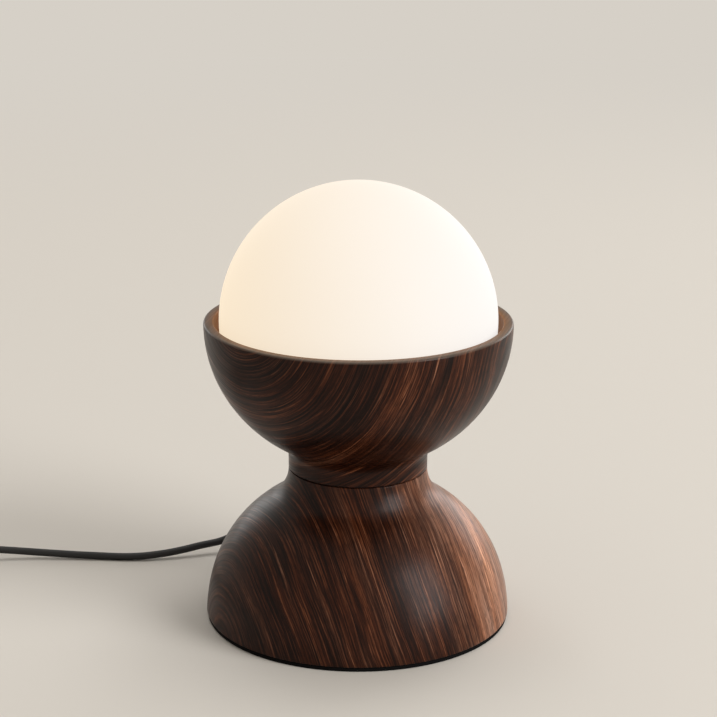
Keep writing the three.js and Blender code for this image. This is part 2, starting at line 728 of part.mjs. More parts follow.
function clampScrew() {
  const seat = weightTop + SEAT + CLAMP_THICKNESS + SEAT;
  return revolve([
    [0, seat + SEAT - CLAMP_SCREW_LENGTH],
    [CLAMP_SCREW_RADIUS, seat + SEAT - CLAMP_SCREW_LENGTH],
    [CLAMP_SCREW_RADIUS, seat],
    [CLAMP_SCREW_HEAD_RADIUS, seat],
    [CLAMP_SCREW_HEAD_RADIUS, seat + CLAMP_SCREW_HEAD_HEIGHT],
    [0, seat + CLAMP_SCREW_HEAD_HEIGHT],
  ], TINY_STEPS);
}

// The lead inside: from the strain relief down to the weight, under the saddle, then up the nipple
function innerLead() {
  const rest = weightTop + SEAT + SEAT + leadRadius;
  const rise = nippleBottom - rest;
  const route = [
    [reliefInnerEnd - FIT, exitHeight],
    [reliefInnerEnd - CORD_DIAMETER, exitHeight],
    [clampPlace + CLAMP_WIDTH, rest],
    [clampPlace, rest],
    [clampPlace - CLAMP_WIDTH, rest],
    ...LEAD_RISE_SHARES.map(([out, up]) => [clampPlace * out, rest + rise * up]),
    [0, nippleBottom],
    [0, (nippleBottom + nippleTop) / 2],
    [0, nippleTop],
    [0, insertBottom - FIT],
  ];
  return cordAlong(route.map(([out, z]) => [out, 0, z]), CORD_DIAMETER, CORD_SIDES);
}

// Strain relief: a bush through the timber wall, a flange in its spot face and a tapered tail
function strainRelief() {
  const flange = reliefSeat + RELIEF_FLANGE_THICKNESS;
  return revolve([
    [0, reliefInnerEnd],
    [EXIT_HOLE_RADIUS - FIT, reliefInnerEnd],
    [EXIT_HOLE_RADIUS - FIT, reliefSeat],
    [RELIEF_FLANGE_RADIUS, reliefSeat],
    [RELIEF_FLANGE_RADIUS, flange],
    [RELIEF_TAPER_RADIUS, flange],
    [RELIEF_TIP_RADIUS, flange + RELIEF_TAPER_LENGTH],
    [0, flange + RELIEF_TAPER_LENGTH],
  ], SMALL_STEPS).rotateY(Math.PI / 2).translate(0, 0, exitHeight);
}

// Inline switch: one moulded form, parted into two shells, with its own axis along X and its middle at x = 0
const switchAxis = SWITCH_HEIGHT / 2;
const pivotHeight = SWITCH_HEIGHT - ROCKER_PIVOT_DEPTH;
const pocketLength = SWITCH_LENGTH - 2 * SWITCH_END_SOLID;

function switchForm() {
  const half = SWITCH_LENGTH / 2 - SWITCH_EDGE;
  const wide = SWITCH_WIDTH / 2 - SWITCH_EDGE;
  const slim = SWITCH_END_WIDTH / 2 - SWITCH_EDGE;
  const shoulder = half - SWITCH_TAPER;
  const bend = half - SWITCH_TAPER / 2;
  const outline = new THREE.Shape();
  outline.moveTo(-half, -slim);
  outline.bezierCurveTo(-bend, -slim, -bend, -wide, -shoulder, -wide);
  outline.lineTo(shoulder, -wide);
  outline.bezierCurveTo(bend, -wide, bend, -slim, half, -slim);
  outline.lineTo(half, slim);
  outline.bezierCurveTo(bend, slim, bend, wide, shoulder, wide);
  outline.lineTo(-shoulder, wide);
  outline.bezierCurveTo(-bend, wide, -bend, slim, -half, slim);
  return new THREE.ExtrudeGeometry(outline, {
    depth: SWITCH_HEIGHT - 2 * SWITCH_EDGE,
    bevelThickness: SWITCH_EDGE,
    bevelSize: SWITCH_EDGE,
    bevelSegments: 2,
    curveSegments: 5,
  }).translate(0, 0, SWITCH_EDGE);
}

function layer(low, high) {
  return block(2 * SWITCH_LENGTH, 2 * SWITCH_WIDTH, high - low, 0, 0, (low + high) / 2);
}

function switchScrewPlaces() {
  const x = SWITCH_LENGTH / 2 - SWITCH_SCREW_END_INSET;
  const y = SWITCH_WIDTH / 2 - SWITCH_SCREW_SIDE_INSET;
  return [[x, -y], [-x, y]];
}

function switchLowerShell() {
  const shell = keepInside(switchForm(), layer(-OVERRUN, switchAxis - SEAT / 2));
  const pocket = block(
    pocketLength, SWITCH_POCKET_WIDTH, switchAxis, 0, 0, SWITCH_FLOOR + switchAxis / 2,
  );
  const holes = switchScrewPlaces().flatMap(([x, y]) => [
    disc(SWITCH_SCREW_RADIUS + FIT, -OVERRUN, SWITCH_HEIGHT, TINY_STEPS).translate(x, y, 0),
    disc(SWITCH_SCREW_HEAD_RADIUS + FIT, -OVERRUN, SWITCH_SCREW_RECESS, TINY_STEPS).translate(x, y, 0),
  ]);
  return cut(shell, pocket, ...holes);
}

function switchUpperShell() {
  const shell = keepInside(switchForm(), layer(switchAxis + SEAT / 2, SWITCH_HEIGHT + OVERRUN));
  const window = block(
    ROCKER_LENGTH + 2 * FIT, ROCKER_WIDTH + 2 * FIT, 2 * SWITCH_HEIGHT, 0, 0, switchAxis,
  );
  const pivotBore = disc(
    ROCKER_PIN_RADIUS + FIT,
    -ROCKER_WIDTH / 2 - ROCKER_PIN_LENGTH - FIT,
    ROCKER_WIDTH / 2 + ROCKER_PIN_LENGTH + FIT,
    TINY_STEPS,
  ).rotateX(Math.PI / 2).translate(0, 0, pivotHeight);
  const pilots = switchScrewPlaces().map(([x, y]) => disc(
    SWITCH_SCREW_RADIUS + FIT, 0, SWITCH_SCREW_RECESS + SWITCH_SCREW_LENGTH + FIT, TINY_STEPS,
  ).translate(x, y, 0));
  return cut(shell, window, pivotBore, ...pilots);
}

// The rocker is built level about its pivot, with ends that are arcs about it.
function switchRocker() {
  const reach = ROCKER_LENGTH / 2;
  const top = ROCKER_PIVOT_DEPTH + ROCKER_PROUD;
  const radius = Math.hypot(reach, top) - ROCKER_DISH;
  const endAngle = Math.asin(top / radius);
  const outline = new THREE.Shape();
  outline.moveTo(-reach / 2, -ROCKER_KEEL);
  outline.lineTo(reach / 2, -ROCKER_KEEL);
  outline.lineTo(reach - ROCKER_DISH, 0);
  outline.lineTo(radius * Math.cos(endAngle), top);
  outline.quadraticCurveTo(0, top - 2 * ROCKER_DISH, -radius * Math.cos(endAngle), top);
  outline.lineTo(-reach + ROCKER_DISH, 0);
  const body = new THREE.ExtrudeGeometry(outline, {
    depth: ROCKER_WIDTH, bevelEnabled: false, curveSegments: 8,
  }).translate(0, 0, -ROCKER_WIDTH / 2).rotateX(Math.PI / 2);
  const pins = disc(
    ROCKER_PIN_RADIUS,
    -ROCKER_WIDTH / 2 - ROCKER_PIN_LENGTH,
    ROCKER_WIDTH / 2 + ROCKER_PIN_LENGTH,
    TINY_STEPS,
  ).rotateX(Math.PI / 2);
  return join(body, pins);
}

function switchContactBlock() {
  const length = pocketLength - 2 * FIT;
  const width = SWITCH_POCKET_WIDTH - 2 * FIT;
  const low = SWITCH_FLOOR + SEAT;
  const body = block(length, width, CONTACT_BLOCK_HEIGHT, 0, 0, low + CONTACT_BLOCK_HEIGHT / 2);
  const slots = [-1, 1].map((side) => block(
    length / 2, CONTACT_THICKNESS, CONTACT_BLOCK_HEIGHT, 0, side * width / 4, low + CONTACT_BLOCK_HEIGHT,
  ));
  return cut(body, ...slots);
}

function switchScrew() {
  const seat = SWITCH_SCREW_RECESS - SEAT;
  return revolve([
    [0, seat - SWITCH_SCREW_HEAD_HEIGHT],
    [SWITCH_SCREW_HEAD_RADIUS, seat - SWITCH_SCREW_HEAD_HEIGHT],
    [SWITCH_SCREW_HEAD_RADIUS, seat],
    [SWITCH_SCREW_RADIUS, seat],
    [SWITCH_SCREW_RADIUS, seat + SWITCH_SCREW_LENGTH],
    [0, seat + SWITCH_SCREW_LENGTH],
  ], TINY_STEPS);
}

// Coil: it spirals in on the first layer, climbs a layer where it turns back, and spirals out on the second.
const coilPitch = CORD_DIAMETER + COIL_TURN_GAP;
const coilOuterRadius = COIL_INNER_RADIUS + coilPitch * COIL_TURNS / 2;
const coilLow = TIE_THICKNESS + TIE_GAP + leadRadius;
const coilHigh = coilLow + coilPitch;
const coilY = SWITCH_Y - coilOuterRadius;

function coilRoute() {
  const route = [[COIL_X + CORD_DIAMETER, coilY + coilOuterRadius, coilLow]];
  for (let i = 0; i <= COIL_TURNS * COIL_STEPS_PER_TURN; i += 1) {
    const turn = i / COIL_STEPS_PER_TURN;
    const fromMiddle = turn - COIL_TURNS / 2;
    const radius = COIL_INNER_RADIUS + coilPitch * Math.abs(fromMiddle);
    const climbed = THREE.MathUtils.clamp(fromMiddle / COIL_CLIMB_TURNS + 0.5, 0, 1);
    const angle = Math.PI / 2 + 2 * Math.PI * turn;
    route.push([
      COIL_X + radius * Math.cos(angle),
      coilY + radius * Math.sin(angle),
      coilLow + coilPitch * climbed,
    ]);
  }
  route.push([COIL_X - coilOuterRadius, coilY - CORD_DIAMETER, coilHigh]);
  return route.map((p) => new THREE.Vector3(...p));
}

// One unbroken tube with a ring of points at each place of the route, its rings kept upright.
function tubeRings(route, diameter, sides) {
  const up = new THREE.Vector3(0, 0, 1);
  return route.map((place, i) => {
    const before = route[Math.max(i - 1, 0)];
    const after = route[Math.min(i + 1, route.length - 1)];
    const ahead = after.clone().sub(before).normalize();
    const across = new THREE.Vector3().crossVectors(ahead, up).normalize();
    const upright = new THREE.Vector3().crossVectors(across, ahead);
    return Array.from({ length: sides }, (_, k) => {
      const angle = 2 * Math.PI * k / sides;
      return place.clone()
        .addScaledVector(across, diameter / 2 * Math.cos(angle))
        .addScaledVector(upright, diameter / 2 * Math.sin(angle));
    });
  });
}

function tubeFromRings(rings) {
  const sides = rings[0].length;
  const index = [];
  for (let i = 0; i + 1 < rings.length; i += 1) {
    for (let k = 0; k < sides; k += 1) {
      const [a, b] = [i * sides + k, i * sides + (k + 1) % sides];
      index.push(a, a + sides, b, b, a + sides, b + sides);
    }
  }
  const last = (rings.length - 1) * sides;
  for (let k = 1; k + 1 < sides; k += 1) {
    index.push(0, k, k + 1);
    index.push(last, last + k + 1, last + k);
  }
  const geometry = new THREE.BufferGeometry().setFromPoints(rings.flat());
  geometry.setIndex(index);
  return geometry;
}

// The least distance between the surfaces of two stretches of the coil that are over half a turn apart
function leastCoilGap(route) {
  let least = Infinity;
  const apart = COIL_STEPS_PER_TURN / 2;
  const near = new THREE.Vector3();
  for (let i = 0; i + 1 < route.length; i += 1) {
    for (let j = i + apart; j + 1 < route.length; j += 1) {
      for (let step = 0; step < 1; step += 0.25) {
        const point = route[i].clone().lerp(route[i + 1], step);
        new THREE.Line3(route[j], route[j + 1]).closestPointToPoint(point, true, near);
        least = Math.min(least, point.distanceTo(near) - CORD_DIAMETER);
      }
    }
  }
  return least;
}

// Tie round the bundle of turns, with its own middle at the coil's middle and the bundle along +X
function coilTie() {
  const sag = COIL_INNER_RADIUS - Math.sqrt(COIL_INNER_RADIUS ** 2 - (TIE_WIDTH / 2) ** 2);
  const inner = COIL_INNER_RADIUS - leadRadius - sag - TIE_GAP;
  const outer = coilOuterRadius - coilPitch / 2 + leadRadius + TIE_GAP;
  const low = coilLow - leadRadius - TIE_GAP;
  const high = coilHigh + leadRadius + TIE_GAP;
  const frame = (grow) => {
    const round = leadRadius / 2 + grow;
    const [x0, x1, z0, z1] = [inner - grow, outer + grow, low - grow, high + grow];
    const outline = new THREE.Shape();
    outline.moveTo(x0 + round, z0);
    outline.lineTo(x1 - round, z0);
    outline.absarc(x1 - round, z0 + round, round, -Math.PI / 2, 0, false);
    outline.lineTo(x1, z1 - round);
    outline.absarc(x1 - round, z1 - round, round, 0, Math.PI / 2, false);
    outline.lineTo(x0 + round, z1);
    outline.absarc(x0 + round, z1 - round, round, Math.PI / 2, Math.PI, false);
    outline.lineTo(x0, z0 + round);
    outline.absarc(x0 + round, z0 + round, round, Math.PI, 1.5 * Math.PI, false);
    return outline;
  };
  const band = frame(TIE_THICKNESS);
  band.holes.push(frame(0));
  return new THREE.ExtrudeGeometry(band, { depth: TIE_WIDTH, bevelEnabled: false, curveSegments: 3 })
    .translate(0, 0, -TIE_WIDTH / 2)
    .rotateX(Math.PI / 2);
}

// Plug, with its own axis along -Y from the cord to the pins and its cord end at y = 0
const plugAxis = PLUG_THICKNESS / 2;
const plugLength = PLUG_RELIEF_LENGTH + PLUG_SHOULDER_LENGTH + PLUG_FRONT_LENGTH;
const plugX = COIL_X - coilOuterRadius;
const plugY = coilY - CORD_DIAMETER - FIT - PLUG_LEAD - FIT;

function plugBody() {
  const wide = PLUG_WIDTH / 2 - PLUG_EDGE;
  const slim = PLUG_WAIST_WIDTH / 2 - PLUG_EDGE;
  const back = -PLUG_RELIEF_LENGTH - PLUG_EDGE;
  const shoulder = -PLUG_RELIEF_LENGTH - PLUG_SHOULDER_LENGTH;
  const bend = (back + shoulder) / 2;
  const front = -plugLength + PLUG_EDGE;
  const outline = new THREE.Shape();
  outline.moveTo(-slim, back);
  outline.bezierCurveTo(-slim, bend, -wide, bend, -wide, shoulder);
  outline.lineTo(-wide, front);
  outline.lineTo(wide, front);
  outline.lineTo(wide, shoulder);
  outline.bezierCurveTo(wide, bend, slim, bend, slim, back);
  const grip = new THREE.ExtrudeGeometry(outline, {
    depth: PLUG_THICKNESS - 2 * PLUG_EDGE,
    bevelThickness: PLUG_EDGE,
    bevelSize: PLUG_EDGE,
    bevelSegments: 2,
    curveSegments: 6,
  }).translate(0, 0, PLUG_EDGE);
  const tail = new THREE.CylinderGeometry(
    PLUG_RELIEF_TIP, PLUG_RELIEF_RADIUS, PLUG_RELIEF_LENGTH + PLUG_EDGE * 2, SMALL_STEPS,
  ).translate(0, -PLUG_RELIEF_LENGTH / 2 - PLUG_EDGE, plugAxis);
  return join(grip, tail);
}

function plugSleeve() {
  return ring(0, SLEEVE_RADIUS, SEAT, SLEEVE_LENGTH, TINY_STEPS);
}

function plugPin() {
  return revolve([
    [0, SLEEVE_LENGTH + SEAT],
    [PIN_RADIUS, SLEEVE_LENGTH + SEAT],
    [PIN_RADIUS, PIN_LENGTH - PIN_ROUND],
    [PIN_RADIUS - PIN_ROUND, PIN_LENGTH],
    [0, PIN_LENGTH],
  ], TINY_STEPS);
}

function add(parent, name, geometry, finish) {
  const mesh = new THREE.Mesh(geometry, new THREE.MeshStandardMaterial(FINISHES[finish]));
  mesh.name = name;
  parent.add(mesh);
  return mesh;
}

const lamp = new THREE.Group();
add(lamp, 'upper_bowl', upperBowl(), 'timber');
add(lamp, 'lower_dome', lowerDome(), 'timber');
add(lamp, 'neck_ring', neckRing(), 'fibre');
add(lamp, 'base_pad', basePad(), 'foam');
add(lamp, 'base_weight', baseWeight(), 'castIron');
screwPlaces().forEach(([x, y], i) => {
  add(lamp, `weight_screw_${i + 1}`, countersunk(0), 'zinc').position.set(x, y, 0);
});

add(lamp, 'threaded_nipple', nipple(), 'zinc');
const washerTop = washerBottom + WASHER_THICKNESS;
add(lamp, 'nipple_washer', ring(nippleHole, WASHER_RADIUS, washerBottom, washerTop), 'zinc');
add(lamp, 'nipple_nut_lower', hexagonNut(lowerNutBottom), 'brass');
add(lamp, 'gallery_pan', galleryPan(), 'zinc');
add(lamp, 'nipple_nut_upper', hexagonNut(upperNutBottom), 'brass');
add(lamp, 'globe_seat_ring', seatRing(), 'silicone');
add(lamp, 'globe', globe(), 'opal');

add(lamp, 'holder_cap', holderCap(), 'whitePlastic');
add(lamp, 'holder_shell', holderShell(), 'whitePlastic');
add(lamp, 'holder_insert', holderInsert(), 'whitePlastic');
add(lamp, 'holder_thread_sleeve', threadSleeve(), 'brass');
add(lamp, 'holder_centre_contact', centreContact(), 'brass');
add(lamp, 'bulb_tip', bulbTip(), 'zinc');
add(lamp, 'bulb_cap', bulbCap(), 'zinc');
add(lamp, 'bulb_base', bulbBase(), 'whitePlastic');
add(lamp, 'bulb_diffuser', bulbDiffuser(), 'diffuser');

const cordExit = new THREE.Group();
cordExit.rotation.z = EXIT_AZIMUTH;
lamp.add(cordExit);
add(cordExit, 'strain_relief', strainRelief(), 'blackPlastic');
add(cordExit, 'inner_lead', innerLead(), 'cordJacket');
add(cordExit, 'lead_clamp', clampSaddle(), 'whitePlastic');
[-1, 1].forEach((side, i) => {
  const screw = add(cordExit, `clamp_screw_${i + 1}`, clampScrew(), 'zinc');
  screw.position.set(clampPlace, side * clampScrewOffset, 0);
});

const inlineSwitch = new THREE.Group();
inlineSwitch.position.set(SWITCH_END_X - SWITCH_LENGTH / 2, SWITCH_Y, 0);
lamp.add(inlineSwitch);
add(inlineSwitch, 'switch_lower_shell', switchLowerShell(), 'blackPlastic');
add(inlineSwitch, 'switch_upper_shell', switchUpperShell(), 'blackPlastic');
add(inlineSwitch, 'switch_contact_block', switchContactBlock(), 'whitePlastic');
switchScrewPlaces().forEach(([x, y], i) => {
  add(inlineSwitch, `switch_screw_${i + 1}`, switchScrew(), 'zinc').position.set(x, y, 0);
});
const rocker = add(inlineSwitch, 'switch_rocker', switchRocker(), 'blackPlastic');
rocker.position.z = pivotHeight;
rocker.rotation.y = ROCKER_TILT;

// The cord: relief to switch, switch to coil, coil, coil to plug
const reliefTip = reliefSeat + RELIEF_FLANGE_THICKNESS + RELIEF_TAPER_LENGTH + FIT;
const exitAlong = (distance) => [
  distance * Math.cos(EXIT_AZIMUTH), distance * Math.sin(EXIT_AZIMUTH), exitHeight,
];
add(lamp, 'cord_to_switch', cordAlong([
  exitAlong(reliefTip),
  exitAlong(reliefTip + CORD_DIAMETER),
  ...CORD_ROUTE,
  [SWITCH_END_X + FIT + CORD_DIAMETER, SWITCH_Y, switchAxis],
  [SWITCH_END_X + FIT, SWITCH_Y, switchAxis],
], CORD_DIAMETER, CORD_SIDES), 'cordJacket');

const switchFar = SWITCH_END_X - SWITCH_LENGTH - FIT;
const coilStart = COIL_X + CORD_DIAMETER + FIT;
const slope = COIL_LEAD_SHARES.map((share) => [
  switchFar + (coilStart - switchFar) * share,
  SWITCH_Y,
  switchAxis + (coilLow - switchAxis) * THREE.MathUtils.smoothstep(share, 0, 1),
]);
add(lamp, 'cord_to_coil', cordAlong([
  [switchFar, SWITCH_Y, switchAxis],
  [switchFar - CORD_DIAMETER, SWITCH_Y, switchAxis],
  ...slope,
  [coilStart + CORD_DIAMETER, SWITCH_Y, coilLow],
  [coilStart, SWITCH_Y, coilLow],
], CORD_DIAMETER, CORD_SIDES), 'cordJacket');

const woundRoute = coilRoute();
add(lamp, 'cord_coil', tubeFromRings(tubeRings(woundRoute, CORD_DIAMETER, COIL_SIDES)), 'cordJacket');
const tie = add(lamp, 'coil_tie', coilTie(), 'blackPlastic');
tie.position.set(COIL_X, coilY, 0);
tie.rotation.z = TIE_AZIMUTH;

const coilEnd = coilY - CORD_DIAMETER - FIT;
add(lamp, 'cord_to_plug', cordAlong([
  [plugX, coilEnd, coilHigh],
  [plugX, coilEnd - CORD_DIAMETER, coilHigh],
  [plugX, coilEnd - PLUG_LEAD / 2, (coilHigh + plugAxis) / 2],
  [plugX, plugY + FIT + CORD_DIAMETER, plugAxis],
  [plugX, plugY + FIT, plugAxis],
], CORD_DIAMETER, CORD_SIDES), 'cordJacket');

const plug = new THREE.Group();
plug.position.set(plugX, plugY, 0);
lamp.add(plug);
add(plug, 'plug_body', plugBody(), 'blackPlastic');
[-1, 1].forEach((side, i) => {
  const x = side * PIN_SPACING / 2;
  const pieces = [['sleeve', plugSleeve(), 'blackPlastic'], ['pin', plugPin(), 'zinc']];
  for (const [name, geometry, finish] of pieces) {
    const piece = add(plug, `plug_${name}_${i + 1}`, geometry, finish);
    piece.position.set(x, -plugLength, plugAxis);
    piece.rotation.x = Math.PI / 2;
  }
});

const woundLength = new THREE.CurvePath();
for (let i = 0; i + 1 < woundRoute.length; i += 1) {
  woundLength.add(new THREE.LineCurve3(woundRoute[i], woundRoute[i + 1]));
}
const woundText = `${woundLength.getLength().toFixed(1)} mm of cord`;
console.log(`coil: ${woundText}, least gap ${leastCoilGap(woundRoute).toFixed(3)} mm`);

export default lamp;
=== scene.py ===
"""Looks of an hourglass table lamp: an opal glass globe in a turned timber bowl, on a turned timber dome.

Lengths are metres, +Z is up and -Y is to the front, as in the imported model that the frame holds.
"""
import logging
import math
from collections.abc import Callable, Sequence
from dataclasses import dataclass
from enum import Enum

import bpy
from mathutils import Matrix, Vector


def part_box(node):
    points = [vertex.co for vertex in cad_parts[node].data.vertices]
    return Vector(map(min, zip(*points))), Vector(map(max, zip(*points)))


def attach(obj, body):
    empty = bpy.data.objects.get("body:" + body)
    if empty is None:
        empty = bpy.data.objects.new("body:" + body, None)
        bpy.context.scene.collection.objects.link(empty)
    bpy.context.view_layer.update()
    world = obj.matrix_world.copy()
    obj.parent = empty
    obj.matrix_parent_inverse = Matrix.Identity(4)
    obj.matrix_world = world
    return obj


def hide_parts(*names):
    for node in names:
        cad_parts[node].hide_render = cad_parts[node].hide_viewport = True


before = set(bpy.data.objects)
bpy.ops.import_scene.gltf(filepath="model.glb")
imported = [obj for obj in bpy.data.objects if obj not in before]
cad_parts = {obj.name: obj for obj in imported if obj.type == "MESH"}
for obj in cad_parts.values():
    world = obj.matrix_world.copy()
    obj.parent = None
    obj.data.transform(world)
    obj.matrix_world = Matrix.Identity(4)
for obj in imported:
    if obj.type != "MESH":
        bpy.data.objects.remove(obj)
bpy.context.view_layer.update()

log = logging.getLogger("lamp")

Point = tuple[float, float]
Place = tuple[float, float, float]
Piece = bpy.types.Object
Tree = bpy.types.NodeTree
Socket = bpy.types.NodeSocket

MM = 0.001
WELD = 0.001 * MM
QUARTER = math.pi / 2
IMAGE_SIDE = 717

FINE_STEPS = 160
ROUND_STEPS = 96
SMALL_STEPS = 48


class Body(Enum):
    """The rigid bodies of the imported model."""

    LAMP = "lamp_body"
    GLOBE = "globe"
    BULB = "bulb"
    ROCKER = "rocker"


def linear(colour: str) -> tuple[float, float, float, float]:
    """Turn an sRGB hex colour into linear light.

    Args:
        colour: The colour as six hex digits after a hash sign.

    Returns:
        The linear red, green and blue, with full alpha.
    """
    parts = [int(colour[i : i + 2], 16) / 255 for i in (1, 3, 5)]
    light = [c / 12.92 if c <= 0.04045 else ((c + 0.055) / 1.055) ** 2.4 for c in parts]
    return light[0], light[1], light[2], 1.0


def add_node(tree: Tree, kind: str, *given: dict[str | int, object]) -> bpy.types.Node:
    """Add a node with its settings and links.

    Args:
        tree: The node tree that gets the node.
        kind: The node's type name, without the ShaderNode that it starts with.
        given: What each input socket or property gets, by its name or number: a value, or an output socket to
            link. A link in a later dict lies over a value in an earlier one.

    Returns:
        The new node.
    """
    node = tree.nodes.new(f"ShaderNode{kind}")
    for name, value in (pair for part in given for pair in part.items()):
        if isinstance(value, Socket):
            tree.links.new(value, node.inputs[name])
        elif isinstance(name, int) or name in node.inputs:
            node.inputs[name].default_value = value
        else:
            setattr(node, name, value)
    return node


@dataclass(frozen=True)
class Finish:
    """A surface finish, named for its real material and for how the surface was made."""

    name: str
    slot: str
    colour: str
    roughness: float = 0.5
    metallic: float = 0.0
    ior: float = 1.5
    specular_level: float = 0.5

    def material(self) -> bpy.types.Material:
        """Make the finish's material, or give the one that it made before."""
        made = bpy.data.materials.get(self.name)
        if made is None:
            made = bpy.data.materials.new(self.name)
            made.use_nodes = True
            tree = made.node_tree
            tree.nodes.clear()
            shader = add_node(tree, "BsdfPrincipled", {
                "Base Color": linear(self.colour), "Roughness": self.roughness, "Metallic": self.metallic,
                "IOR": self.ior, "Specular IOR Level": self.specular_level,
            }, self.pattern(tree))
            add_node(tree, "OutputMaterial", {"Surface": shader.outputs["BSDF"]})
        return made

    def pattern(self, tree: Tree) -> dict[str, object]:
        """Give what the shader gets where the finish varies; the plain finish doesn't."""
        return {}


@dataclass(frozen=True)
class TurnedTimber(Finish):
    """Dark streaked hardwood, turned on a lathe, sanded and given a satin lacquer.

    The growth layers lie round a pith line beside the piece, so the turned surface cuts them in wide arcs
    on the side that faces along the line, and in long near-straight streaks on the others. Each kind of
    layer has its spacing, its length along the grain and its detail.
    """

    pith: Place = (0.0, 0.0, 0.0)
    along: Place = (0.0, 1.0, 0.0)
    # Depths from the pith over which the tone pales, and by how much: partly paler sapwood, partly painted
    # light on the side that faces the key light
    sapwood_and_painted_light_span: Point = (120 * MM, 240 * MM)
    sapwood_and_painted_light_lift: float = 0.0
    swells: tuple[Point, ...] = ((120 * MM, 5 * MM), (30 * MM, 0.7 * MM))
    heartwood: tuple[tuple[float, str], ...] = (
        (0.33, "#090402"), (0.45, "#1d0d07"), (0.54, "#351c11"), (0.64, "#573726"), (0.80, "#906a54"),
        (0.96, "#c39c83"),
    )
    tints: tuple[tuple[float, str], ...] = ((0.38, "#b3aeb0"), (0.62, "#c8b2a1"))
    # Bands, streaks, lines and hairlines, each with its share in the tone
    tone_layers: tuple[tuple[Place, float], ...] = (
        ((14 * MM, 150 * MM, 1.5), 0.28), ((4 * MM, 130 * MM, 1.0), 0.16),
        ((1.15 * MM, 80 * MM, 1.0), 0.3), ((0.75 * MM, 32 * MM, 0.5), 0.34),
    )
    line_layer: int = 2
    line_gloss: Point = (0.35, 0.65)
    gloss_reach: Point = (0.05, -0.04)
    tint_layer: Place = (9.8 * MM, 90 * MM, 1.0)
    thread_layer: Place = (1.1 * MM, 70 * MM, 0.0)
    thread_width: Point = (0.02, 0.07)
    thread_lift: float = 0.12
    group_layer: Place = (2.2 * MM, 50 * MM, 1.0)
    group_edge: Point = (0.42, 0.62)
    pore_layer: Place = (0.5 * MM, 5 * MM, 0.5)
    pore_edge: Point = (0.36, 0.5)
    pore_tone: float = 0.58
    pore_depth: float = 0.04 * MM
    hollow_centre: Place = (0.0, 0.0, 0.0)
    hollow_radius: float = 0.0
    # Painted lamplight: the globe's warm light painted onto the bowl's inside wall
    painted_lamplight: str = "#90591f"
    painted_lamplight_share: float = 0.55
    # Painted light on the rim's top: golden painted lamplight at its inner edge, turning to a grey painted
    # reflection of the backdrop further out
    painted_rim_light_above: float = 0.0
    painted_rim_lamplight: str = "#a0661e"
    painted_rim_reflection: str = "#7c6f62"
    painted_rim_light_reach: float = 5 * MM
    painted_rim_light_share: float = 0.4

    def pattern(self, tree: Tree) -> dict[str, object]:
        """Lay the growth layers, threads and pores through the block, for colour, gloss and relief."""
        block = add_node(tree, "TexCoord").outputs["Object"]
        depth = self.depth_in(tree, block)
        noises = [self.layers(tree, block, depth, layer) for layer, _ in self.tone_layers]
        tone: float | Socket = 0.5 - 0.5 * sum(share for _, share in self.tone_layers)
        for noise, (_, share) in zip(noises, self.tone_layers):
            tone = add_node(tree, "Math", {
                "operation": "MULTIPLY_ADD", 0: noise, 1: share, 2: tone,
            }).outputs[0]
        # Pale the tone with depth from the pith: partly sapwood, partly painted light on the lit side
        sapwood_and_painted_light_tone = add_node(tree, "MapRange", {
            "interpolation_type": "SMOOTHSTEP", "Value": depth, "From Min": self.sapwood_and_painted_light_span[0],
            "From Max": self.sapwood_and_painted_light_span[1], "To Max": self.sapwood_and_painted_light_lift,
        })
        for lift in (sapwood_and_painted_light_tone.outputs["Result"], self.threads_in(tree, block, depth)):
            tone = add_node(tree, "Math", {"operation": "ADD", 0: tone, 1: lift}).outputs[0]
        pores = add_node(tree, "MapRange", {
            "Value": self.layers(tree, block, depth, self.pore_layer), "From Min": self.pore_edge[0],
            "From Max": self.pore_edge[1], "To Min": self.pore_tone,
        }).outputs["Result"]
        tint = self.ramp(tree, self.layers(tree, block, depth, self.tint_layer), self.tints)
        colour = self.ramp(tree, tone, self.heartwood)
        for blend, other in (("OVERLAY", tint), ("MULTIPLY", pores)):
            colour = add_node(tree, "Mix", {
                "data_type": "RGBA", "blend_type": blend, 0: 1.0, 6: colour, 7: other,
            }).outputs[2]
        gloss = add_node(tree, "MapRange", {
            "Value": noises[self.line_layer], "From Min": self.line_gloss[0], "From Max": self.line_gloss[1],
            "To Min": self.roughness + self.gloss_reach[0], "To Max": self.roughness + self.gloss_reach[1],
        })
        relief = add_node(tree, "Bump", {"Strength": 0.2, "Distance": self.pore_depth, "Height": pores})
        return {
            "Base Color": self.with_painted_globe_light(tree, block, colour), "Roughness": gloss.outputs["Result"],
            "Normal": relief.outputs["Normal"],
        }

    def depth_in(self, tree: Tree, block: Socket) -> Socket:
        """Give how far each point lies from the pith line, with the slow waves that the layers grew with."""
        offset = add_node(tree, "VectorMath", {"operation": "SUBTRACT", 0: block, 1: self.pith})
        across = add_node(tree, "VectorMath", {
            "operation": "CROSS_PRODUCT", 0: offset.outputs[0], 1: tuple(Vector(self.along).normalized()),
        })
        depth = add_node(tree, "VectorMath", {"operation": "LENGTH", 0: across.outputs[0]}).outputs["Value"]
        for span, reach in self.swells:
            swell = add_node(tree, "TexNoise", {"Vector": block, "Scale": 1 / span, "Detail": 1.0})
            lift = add_node(tree, "MapRange", {
                "Value": swell.outputs["Fac"], "To Min": -reach, "To Max": reach,
            })
            depth = add_node(tree, "Math", {"operation": "ADD", 0: depth, 1: lift.outputs[0]}).outputs[0]
        return depth

